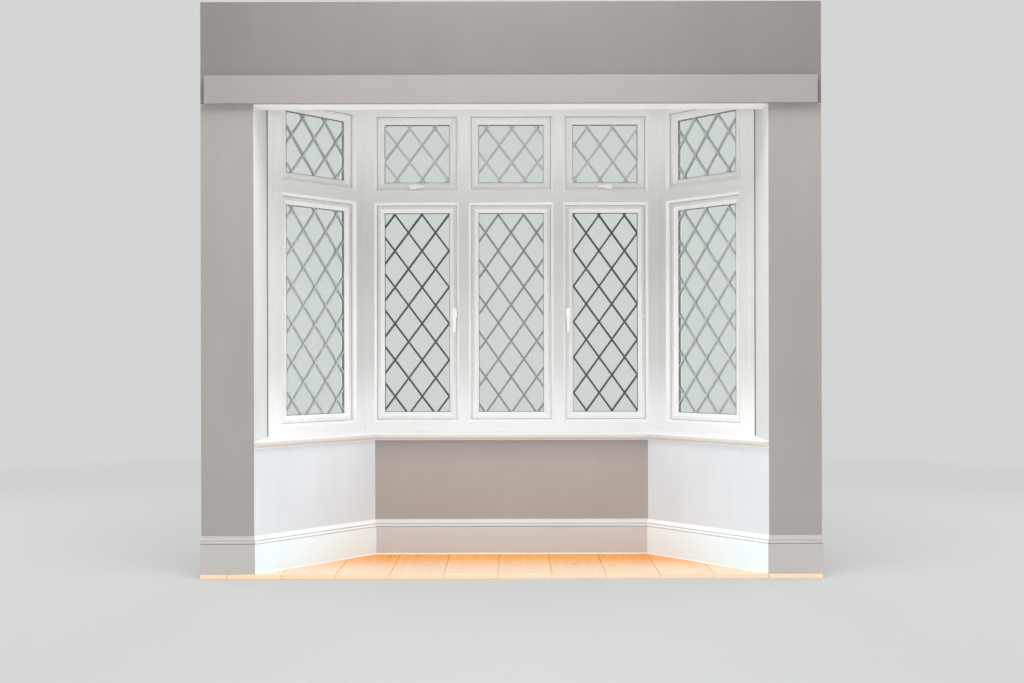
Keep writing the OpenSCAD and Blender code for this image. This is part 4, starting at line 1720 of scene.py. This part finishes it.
class LeadTree(GrowTree):
    """Two families of slanting lead strips that fill a light with diamonds."""

    least: float = 0.004
    taper: float = 0.30
    under: float = 0.15
    spare: float = 3.0

    def __init__(self) -> None:
        """Builds the tree."""
        super().__init__("leaded_light", (
            "Width", "Height", "Pitch", "Lean", "Rising", "Falling", "Strip width", "Strip depth"))
        strip = self.strip()
        gather = self.wire("GeometryNodeJoinGeometry")
        for sign, phase in ((1.0, "Rising"), (-1.0, "Falling")):
            put(gather.socket.node.inputs[0], self.family(strip, sign, phase))
        self.end(gather)

    def strip(self) -> Wire:
        """Makes one strip of unit length along X, flat on the glass and narrower on its face towards -Y.

        Returns:
            The strip.
        """
        depth = self.size("Strip depth")
        size = self.vector(1.0, depth, self.size("Strip width"))
        placed = self.wire("GeometryNodeTransform", Geometry=self.wire("GeometryNodeMeshCube", Size=size),
                           Translation=self.vector(0.5, depth * -0.5, 0.0))
        x, y, z = self.place()
        narrowed = (y < (depth * -0.5)) * -self.taper + 1.0
        return self.wire("GeometryNodeSetPosition", Geometry=placed, Position=self.vector(x, y, z * narrowed))

    def family(self, strip: Wire, sign: float, phase: str) -> Wire:
        """Makes the strips that lean one way, each cut off at the light's edges.

        Args:
            strip: The unit strip.
            sign: One for strips that rise to the right, minus one for the others.
            phase: The input that says where they start.

        Returns:
            The strips as instances.
        """
        width, height, pitch, lean = (self.size(n) for n in ("Width", "Height", "Pitch", "Lean"))
        start = self.size(phase)
        before = ((start + lean * height * max(sign, 0.0)) / pitch).math("CEIL")
        count = ((width + lean * height) / pitch).math("CEIL") + self.spare
        dots = self.wire("GeometryNodePoints", Count=count)
        foot = start + (self.wire("GeometryNodeInputIndex") - before) * pitch
        slope = lean * sign
        left, right = (foot * -1.0) / slope, (width - foot) / slope
        low = left.lesser(right).either(0.0)
        high = left.either(right).lesser(height)
        length = (high - low) * (lean * lean + 1.0).math("SQRT")
        kept = self.wire("GeometryNodeSetPosition", Geometry=dots,
                         Position=self.vector(foot + slope * low, 0.0, low))
        stored = self.wire("GeometryNodeStoreNamedAttribute", 0, {"data_type": "FLOAT", "domain": "POINT"},
                           Geometry=kept, Name="length", Value=length)
        own = self.wire("GeometryNodeInputNamedAttribute", "Attribute", {"data_type": "FLOAT"}, Name="length")
        cut = self.wire("GeometryNodeDeleteGeometry", 0, {"domain": "POINT"}, Geometry=stored,
                        Selection=own < self.least)
        angle = self.in_order("ShaderNodeMath", 1.0, slope, operation="ARCTAN2")
        return self.wire("GeometryNodeInstanceOnPoints", Points=cut, Instance=strip,
                         Rotation=self.vector(0.0, angle * -1.0, 0.0),
                         Scale=self.vector(own, 1.0 - self.under * (sign < 0.0), 1.0))


class RingTree(GrowTree):
    """A strip round a rectangle, flat on it, with square corners."""

    def __init__(self) -> None:
        """Builds the tree."""
        super().__init__("seal_ring", ("Width", "Height", "Strip width", "Strip depth"))
        path = self.wire("GeometryNodeCurvePrimitiveQuadrilateral",
                         Width=self.size("Width"), Height=self.size("Height"))
        upright = self.wire("GeometryNodeSetCurveNormal", 0, {"mode": "Z_UP"}, Curve=path)
        section = self.wire("GeometryNodeCurvePrimitiveQuadrilateral",
                            Width=self.size("Strip width") * math.sqrt(2.0), Height=self.size("Strip depth"))
        self.end(self.turned(self.wire("GeometryNodeCurveToMesh", Curve=upright, Profile_Curve=section)))


class SpotTree(GrowTree):
    """Low rounded caps in a row along X, each facing -Y."""

    corners: int = 12
    taper: float = 0.22

    def __init__(self) -> None:
        """Builds the tree."""
        super().__init__("row_of_caps", ("Length", "Number", "Cap width", "Cap height", "Cap depth"))
        step = self.size("Length") / (self.size("Number") - 1.0)
        row = self.wire("GeometryNodeMeshLine", Count=self.size("Number"), Offset=self.vector(step, 0.0, 0.0))
        disc = self.wire("GeometryNodeMeshCylinder", 0, {"fill_type": "NGON"},
                         Vertices=self.corners, Radius=0.5, Depth=1.0)
        x, y, z = self.place()
        shrink = (z > 0.0) * -self.taper + 1.0
        cap = self.wire("GeometryNodeSetPosition", Geometry=disc,
                        Position=self.vector(x * shrink, y * shrink, z + 0.5))
        size = self.vector(self.size("Cap width"), self.size("Cap depth"), self.size("Cap height"))
        self.end(self.wire("GeometryNodeInstanceOnPoints", Points=row, Instance=self.turned(cap), Scale=size))


@dataclass
class Leads:
    """The lead strips on both faces of every light."""

    glazing: Glazing
    strip_w: float = 0.0090
    strip_d: float = 0.0013
    edge_share: float = 0.3

    def build(self, palette: Palette) -> None:
        """Makes one piece of strips for each part of the bay.

        Args:
            palette: The finishes.
        """
        tree = LeadTree()
        for side in Side:
            strips = [mesh for light in self.glazing.at(side) for mesh in self.faces(tree, light, palette)]
            add_piece(f"leads_{side.name.lower()}", joined(strips), (palette.came,))

    def faces(self, tree: LeadTree, light: Light, palette: Palette) -> list[bpy.types.Mesh]:
        """Makes the strips of one light.

        Args:
            tree: The tree that makes strips.
            light: The light.
            palette: The finishes.

        Returns:
            The strips on the inner face and on the outer face.
        """
        x, z, width, height = light.inside(self.glazing.bead_in)
        lattice = light.lattice
        made = []
        for y, flip in zip(self.glazing.glass_faces(), (Matrix(), ABOUT_FACE)):
            mesh = tree.grown(Width=width, Height=height, Pitch=lattice.pitch, Lean=lattice.lean,
                              Rising=lattice.rising, Falling=lattice.falling,
                              Strip_width=self.strip_w, Strip_depth=self.strip_d, Material=palette.came)
            # The flat faces take the pale share and the slanted sides less of it: painted sheen on the flat
            # faces.
            paint(mesh, lattice.bloom_and_painted_sheen, lattice.bloom_and_painted_sheen * self.edge_share)
            made.append(moved(mesh, PLAN.placing(light.side) @ Matrix.Translation((x, y, z)) @ flip))
        return made


@dataclass
class Seals:
    """The thin dark seals round the glass, inside and outside, and the pale ones round the sashes."""

    glazing: Glazing
    glass_size: Point = (0.0030, 0.0012)
    gap_size: Point = (0.0026, 0.0030)
    gap_back: float = 0.0010

    def build(self, palette: Palette) -> None:
        """Makes one piece of each kind for each part of the bay.

        Args:
            palette: The finishes.
        """
        tree = RingTree()
        inner, outer = self.glazing.glass_faces()
        glass_ys = (inner - self.glass_size[1] / 2, outer + self.glass_size[1] / 2)
        gap_ys = (self.glazing.sash_y + self.gap_back + self.gap_size[1] / 2,)
        for side in Side:
            for kind, inset, ys, size, material in (
                    ("glass", self.glazing.bead_in, glass_ys, self.glass_size, palette.gasket),
                    ("sash", self.glazing.sash_gap / 2, gap_ys, self.gap_size, palette.sash_seal)):
                rings = [self.ring(tree, light, inset, y, size, material)
                         for light in self.glazing.at(side) for y in ys]
                add_piece(f"{kind}_seals_{side.name.lower()}", joined(rings), (material,))

    def ring(self, tree: RingTree, light: Light, inset: float, y: float, size: Point,
             material: bpy.types.Material) -> bpy.types.Mesh:
        """Makes one ring.

        Args:
            tree: The tree that makes rings.
            light: The light that it runs round.
            inset: How far it lies within the light's opening.
            y: How far outwards its middle lies.
            size: Its strip's width and depth.
            material: Its material.

        Returns:
            The ring in place.
        """
        x, z, width, height = light.inside(inset)
        ring = tree.grown(Width=width, Height=height, Strip_width=size[0], Strip_depth=size[1],
                          Material=material)
        return moved(ring, PLAN.placing(light.side) @ Matrix.Translation((x + width / 2, y, z + height / 2)))


@dataclass
class OutsideFittings:
    """Drain covers on the frames, and the headed pins that hold the fascia boards."""

    glazing: Glazing
    drain: Triple = (0.034, 0.011, 0.0035)
    drain_end: float = 0.09
    drain_up: float = 0.024
    pin: Triple = (0.010, 0.010, 0.0022)
    pin_end: float = 0.06
    pin_edge: float = 0.022
    pin_pitch: float = 0.5

    def build(self, palette: Palette) -> None:
        """Makes the covers and the pins of each part of the bay.

        Args:
            palette: The finishes.
        """
        tree = SpotTree()
        finish = (palette.outside_plastic,)
        for side in Side:
            name = side.name.lower()
            add_piece(f"drain_covers_{name}", joined(self.drains(tree, side, palette)), finish)
            add_piece(f"fascia_pins_{name}", joined(self.pins(tree, side, palette)), finish)

    def row(self, tree: SpotTree, length: float, number: int, cap: Triple,
            palette: Palette) -> bpy.types.Mesh:
        """Grows one row of caps that face +Y.

        Args:
            tree: The tree that makes rows.
            length: The distance between the first and the last.
            number: How many there are.
            cap: Each one's width, height and depth.
            palette: The finishes.

        Returns:
            The row's mesh, from the origin along X.
        """
        width, height, depth = cap
        mesh = tree.grown(Length=length, Number=float(number), Cap_width=width, Cap_height=height,
                          Cap_depth=depth, Material=palette.outside_plastic)
        return moved(mesh, ABOUT_FACE)

    def drains(self, tree: SpotTree, side: Side, palette: Palette) -> list[bpy.types.Mesh]:
        """Puts two covers under each light of one window.

        Args:
            tree: The tree that makes rows.
            side: The window's part of the bay.
            palette: The finishes.

        Returns:
            The covers, a mesh for each light.
        """
        made = []
        for light in self.glazing.at(side):
            low = light.name.startswith("low")
            up = PLAN.board_top + self.drain_up if low else light.z - self.glazing.transom / 2
            row = self.row(tree, light.width - 2 * self.drain_end, 2, self.drain, palette)
            place = Matrix.Translation((light.x + self.drain_end, PLAN.frame_t, up))
            made.append(moved(row, PLAN.placing(side) @ place))
        return made

    def pins(self, tree: SpotTree, side: Side, palette: Palette) -> list[bpy.types.Mesh]:
        """Puts two rows of pins along one fascia board.

        Args:
            tree: The tree that makes rows.
            side: The board's part of the bay.
            palette: The finishes.

        Returns:
            The rows.
        """
        low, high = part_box("fascia_front")
        offset = PLAN.offset_at(high.y)
        corner = PLAN.corner(offset)
        start, length = -corner[0], 2 * corner[0]
        if side is not Side.FRONT:
            start, length = 0.0, (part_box("fascia_right")[1].x - corner[0]) / math.cos(PLAN.splay)
        number = max(2, round(length / self.pin_pitch))
        made = []
        for up in (low.z + self.pin_edge, high.z - self.pin_edge):
            row = self.row(tree, length - 2 * self.pin_end, number, self.pin, palette)
            place = Matrix.Translation((start + self.pin_end, 0.0, up))
            made.append(moved(row, PLAN.placing(side, offset) @ place))
        return made


@dataclass
class FrameJoint:
    """The narrow dark strip at the joint between each side frame and the plaster of the reveal: painted shadow
    of the gap there.
    """

    width: float = 0.0055
    proud: float = 0.0006

    def build(self, palette: Palette) -> None:
        """Makes the joint on both sides.

        Args:
            palette: The finishes.
        """
        x, y = PLAN.side_at_x(PLAN.setback, PLAN.reveal_x)
        across, out = math.cos(PLAN.splay), math.sin(PLAN.splay)
        edges = ((0.0, self.proud), (0.0, -self.proud), (self.width, -self.proud), (self.width, self.proud))
        plan = [(x - across * along - out * inward, y + out * along - across * inward)
                for along, inward in edges]
        for name, mirrored in (("right", False), ("left", True)):
            maker = Maker()
            maker.prism(plan, PLAN.board_top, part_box("ceiling")[0].z)
            add_piece(f"frame_joint_{name}", maker.done(mirrored), (palette.joint,))


@dataclass
class Sealant:
    """Thin beads of sealant where the board meets the frames and the wall, and at the skirting's foot."""

    bead: float = 0.0045
    sunk: float = 0.0005
    hollow: float = 0.35

    def build(self, palette: Palette) -> None:
        """Makes the beads.

        Args:
            palette: The finishes.
        """
        inner = Maker()
        inner.sweep(PLAN.run(self.fillet(PLAN.setback, PLAN.board_top, 1.0)))
        inner.sweep(PLAN.run(self.fillet(0.0, PLAN.dwarf_top, -1.0), PLAN.side_at_y(0.0, PLAN.room_y)[0]))
        add_piece("sealant_inside", inner.done(), (palette.sealant,))
        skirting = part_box("skirting_front")
        face = skirting[0].y - skirting[1].y
        end = PLAN.side_at_y(face, PLAN.room_y + face + 2 * self.bead)[0]
        foot_line = Maker()
        foot_line.sweep(PLAN.run(self.fillet(face, PLAN.floor_top, 1.0), end))
        add_piece("skirting_caulk", foot_line.done(), (palette.sealant,))

    def fillet(self, offset: float, height: float, up: float) -> list[Point]:
        """Draws a hollow triangle in the corner of an upright and a level face, on the inner side.

        Args:
            offset: The upright face's offset.
            height: The level face's height.
            up: Which way it climbs, one or minus one.

        Returns:
            The section's points.
        """
        back, root = offset + self.sunk, height - up * self.sunk
        hollow = self.bead * self.hollow
        return [(back, root), (offset - self.bead, root), (offset - hollow, height + up * hollow),
                (back, height + up * self.bead)]


@dataclass(frozen=True)
class Softened:
    """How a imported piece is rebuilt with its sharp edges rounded, as moulded plastic and painted wood are."""

    width: float
    segments: int = 2
    weld: float = 1e-5
    flat_to: float = math.radians(0.4)
    least: float = math.radians(28)
    smooth_to: float = math.radians(24)
    size_ratio: float = 12.0
    slope_from: float = 0.93

    def build(self, node: str, material: bpy.types.Material, slot: Slot) -> None:
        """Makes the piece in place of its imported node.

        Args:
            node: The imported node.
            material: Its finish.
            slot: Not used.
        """
        whole = bmesh.new()
        whole.from_mesh(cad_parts[node].data)
        bmesh.ops.remove_doubles(whole, verts=whole.verts, dist=self.weld)
        bmesh.ops.dissolve_limit(whole, angle_limit=self.flat_to, verts=whole.verts, edges=whole.edges)
        bmesh.ops.recalc_face_normals(whole, faces=whole.faces)
        sharp = [e for e in whole.edges if len(e.link_faces) == 2 and e.is_convex
                 and e.calc_face_angle(0.0) > self.least]
        bmesh.ops.bevel(whole, geom=sharp, offset=self.width, segments=self.segments, profile=0.5,
                        affect="EDGES", clamp_overlap=True, material=-1)
        self.shade(whole)
        self.tone(whole)
        add_piece(f"{node}_soft", as_mesh(whole), (material,), [node])

    def tone(self, whole: bmesh.types.BMesh) -> None:
        """Marks the faces that slope against their window's plane, and those that look inwards.

        Args:
            whole: The piece.
        """
        layer = whole.loops.layers.float_color.new(TONE)
        for face in whole.faces:
            centre = face.calc_center_median()
            corner = PLAN.corner(PLAN.offset_at(centre.y))[0]
            turned = math.copysign(math.sin(PLAN.splay), centre.x) if abs(centre.x) > corner else 0.0
            plane = Vector((turned, math.cos(PLAN.splay) if turned else 1.0, 0.0))
            looks = face.normal.dot(plane)
            # The first mark picks faces for the plastic's painted highlight, the second picks the inward faces
            # that take its painted light near the frames' ends.
            share = 1.0 if abs(looks) < self.slope_from else 0.0
            inside = 1.0 if looks < 0.0 else 0.0
            for loop in face.loops:
                loop[layer] = (share, inside, MID_TONE[2], 1.0)

    def shade(self, whole: bmesh.types.BMesh) -> None:
        """Shades curved runs smooth and keeps every flat face flat.

        Args:
            whole: The piece.
        """
        for face in whole.faces:
            face.smooth = True
        for edge in whole.edges:
            areas = sorted(face.calc_area() for face in edge.link_faces)
            alike = len(areas) == 2 and areas[1] < self.size_ratio * areas[0]
            edge.smooth = alike and edge.calc_face_angle(0.0) < self.smooth_to


@dataclass
class Joinery:
    """The frames, sashes, beads, boards and trims, with their edges softened."""

    plastic: Softened = Softened(0.0008)
    timber: Softened = Softened(0.0012)
    handle: Softened = Softened(0.0007)

    def kinds(self, palette: Palette) -> list[tuple[str, Softened, bpy.types.Material, Slot]]:
        """Lists what each kind of node is rebuilt with.

        Args:
            palette: The finishes.

        Returns:
            The beginning of the nodes' names, how they are softened, their material and their slot.
        """
        return [
            ("frame_", self.plastic, palette.frame, Slot.FRAME),
            ("corner_post", self.plastic, palette.frame, Slot.FRAME),
            ("casement_handles", self.handle, palette.handle, Slot.HANDLE),
            ("fanlight_handles", self.handle, palette.handle, Slot.HANDLE),
            ("casement_", self.plastic, palette.sash, Slot.SASH),
            ("fixed_light", self.plastic, palette.sash, Slot.SASH),
            ("side_", self.plastic, palette.sash, Slot.SASH),
            ("fanlight_", self.plastic, palette.sash, Slot.SASH),
            ("top_light", self.plastic, palette.sash, Slot.SASH),
            ("glazing_beads", self.plastic, palette.bead, Slot.SASH),
            ("window_board", self.timber, palette.board, Slot.FRAME),
            ("sill_", self.plastic, palette.outside_plastic, Slot.FRAME),
            ("fascia_", self.plastic, palette.outside_plastic, Slot.FASCIA),
            ("skirting_left", self.timber, palette.skirting_side, Slot.PAINT),
            ("skirting_right", self.timber, palette.skirting_side, Slot.PAINT),
            ("skirting_pier", self.timber, palette.skirting_beside, Slot.PAINT),
            ("skirting", self.timber, palette.skirting, Slot.PAINT),
            ("fixing_board", self.timber, palette.fixing, Slot.PAINT),
        ]

    def build(self, palette: Palette) -> None:
        """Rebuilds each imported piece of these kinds.

        Args:
            palette: The finishes.
        """
        for node in list(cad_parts):
            for start, way, material, slot in self.kinds(palette):
                if node.startswith(start):
                    way.build(node, material, slot)
                    break


def dress_all(palette: Palette) -> None:
    """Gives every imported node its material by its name's beginning.

    Args:
        palette: The finishes.
    """
    by_name = {start: material for start, _, material, _ in Joinery().kinds(palette)} | {
        "floor": palette.oak, "inner_wall_front": palette.front_wall, "inner_wall": palette.side_wall,
        "pier_inner": palette.beside, "header_inner": palette.over, "brick_wall": palette.brick,
        "pier_brick": palette.brick, "header_brick": palette.brick, "glass_spacers": palette.spacer,
        "glass": palette.glass, "ceiling": palette.ceiling, "roof_core": palette.timber,
        "lead_roof": palette.lead, "flashing": palette.lead,
    }
    for node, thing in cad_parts.items():
        start = next(name for name in by_name if node.startswith(name))
        thing.data.materials.clear()
        thing.data.materials.append(by_name[start])
    LOG.info("dressed %d packed nodes", len(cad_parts))


@dataclass(frozen=True)
class View:
    """The camera, solved from the straight lines of the bay."""

    focal_px: float = 1041.03
    width_px: float = 1024.0
    horizon_px: float = 356.25
    centre_px: float = 341.5
    sensor: float = 36.0
    height: float = 0.9999
    distance: float = 4.6935
    across: float = 0.0049
    turn: float = math.radians(0.02)
    roll: float = math.radians(-0.12)

    def build(self) -> None:
        """Makes the camera and puts it in the scene."""
        data = bpy.data.cameras.new("view")
        data.sensor_width = self.sensor
        data.lens = self.focal_px / self.width_px * self.sensor
        data.shift_y = (self.horizon_px - self.centre_px) / self.width_px
        camera = bpy.data.objects.new("view", data)
        place = Matrix.Translation((self.across, PLAN.room_y - self.distance, self.height))
        level = Matrix.Rotation(self.turn, 4, "Z") @ Matrix.Rotation(math.pi / 2, 4, "X")
        camera.matrix_world = place @ level @ Matrix.Rotation(self.roll, 4, "Z")
        bpy.context.scene.collection.objects.link(camera)
        bpy.context.scene.camera = camera


@dataclass(frozen=True)
class Lamp:
    """A soft square lamp aimed at a point."""

    name: str
    place: Triple
    aim: Triple
    size: float
    watts: float
    in_gloss: bool = True

    def build(self) -> None:
        """Makes the lamp."""
        data = bpy.data.lights.new(self.name, "AREA")
        data.shape = "SQUARE"
        data.size = self.size
        data.energy = self.watts
        lamp = bpy.data.objects.new(self.name, data)
        lamp.visible_camera = False
        lamp.visible_glossy = self.in_gloss
        lamp.location = self.place
        lamp.rotation_euler = (Vector(self.aim) - Vector(self.place)).to_track_quat("-Z", "Y").to_euler()
        bpy.context.scene.collection.objects.link(lamp)


@dataclass
class Studio:
    """Pale floor and backdrop, with soft lamps before the bay, over it, behind it and beside it."""

    backdrop: Colour = (0.66, 0.675, 0.665)
    white: Colour = (1.0, 1.0, 1.0)
    ambient: float = 0.42
    floor_lit: Colour = (0.82, 0.82, 0.81)
    floor_shown: Colour = (0.52, 0.53, 0.52)
    floor_roughness: float = 0.9
    floor_glow: float = 0.5
    floor_half: float = 30.0
    clear_from: float = 2.2
    clear_to: float = 7.0
    lamps: Sequence[Lamp] = field(default_factory=lambda: (
        Lamp("lamp_left", (-3.6, -1.6, 1.9), (0.0, 0.0, 1.0), 2.6, 22.0),
        Lamp("lamp_right", (3.6, -1.6, 1.9), (0.0, 0.0, 1.0), 2.6, 22.0),
        Lamp("lamp_room", (0.0, -1.5, 4.4), (0.0, 0.0, 0.3), 1.7, 109.0),
        Lamp("lamp_low", (0.0, -4.6, 1.2), (0.0, 0.2, 1.7), 1.4, 57.0, False),
        Lamp("lamp_outside", (0.0, 4.8, 3.0), (0.0, 0.0, 1.2), 3.4, 76.0),
        Lamp("lamp_beside_left", (-4.6, 1.4, 2.6), (0.3, -0.1, 1.2), 2.2, 95.0, False),
        Lamp("lamp_beside_right", (4.6, 1.4, 2.6), (-0.3, -0.1, 1.2), 2.2, 95.0, False),
    ))

    def build(self) -> None:
        """Makes the floor, the world and the lamps."""
        self.make_world()
        self.make_floor()
        for lamp in self.lamps:
            lamp.build()
        bpy.context.scene.view_settings.view_transform = "Standard"

    def make_world(self) -> None:
        """Lights the bay evenly, and shows the pale backdrop to the camera, gloss and glass."""
        world = bpy.data.worlds.new("studio")
        world.use_nodes = True
        bpy.context.scene.world = world
        world.node_tree.nodes.clear()
        n = Nodes(world.node_tree)
        seen = n.ray("Camera").either(n.ray("Glossy")).either(n.ray("Transmission"))
        plain = n.wire("ShaderNodeBackground", Color=self.white, Strength=self.ambient)
        pale = n.wire("ShaderNodeBackground", Color=self.backdrop)
        n.show("ShaderNodeOutputWorld", n.in_order("ShaderNodeMixShader", seen, plain, pale))

    def make_floor(self) -> None:
        """Makes a pale floor that keeps the shadows near the bay and fades into the backdrop."""
        mesh = bpy.data.meshes.new("studio_floor")
        half = self.floor_half
        corners = [(-half, -half, 0.0), (half, -half, 0.0), (half, half, 0.0), (-half, half, 0.0)]
        mesh.from_pydata(corners, [], [(0, 1, 2, 3)])
        floor = bpy.data.objects.new("studio_floor", mesh)
        bpy.context.scene.collection.objects.link(floor)
        s = Shader("studio_floor")
        x, y, _ = s.axes()
        far = s.ramp((x * x + y * y).math("SQRT"), self.clear_from, self.clear_to)
        seen = s.ray("Camera").either(s.ray("Glossy"))
        matt = s.wire("ShaderNodeBsdfPrincipled", Roughness=self.floor_roughness,
                      Base_Color=s.blend(seen, self.floor_lit, self.floor_shown))
        glow = s.wire("ShaderNodeEmission", Color=self.backdrop, Strength=1.0)
        share = (far * (1.0 - self.floor_glow) + self.floor_glow) * seen
        mesh.materials.append(s.end(s.in_order("ShaderNodeMixShader", share, matt, glow)))


def main() -> None:
    """Builds the finishes and pieces in order."""
    logging.basicConfig(level=logging.INFO, format="%(message)s")
    View().build()
    Studio().build()
    palette = Palette()
    dress_all(palette)
    OakFloor().build(palette)
    Brickwork().build(palette)
    Joinery().build(palette)
    glazing = Glazing()
    Leads(glazing).build(palette)
    Seals(glazing).build(palette)
    OutsideFittings(glazing).build(palette)
    Sealant().build(palette)
    FrameJoint().build(palette)


if __name__ == "__main__":
    main()
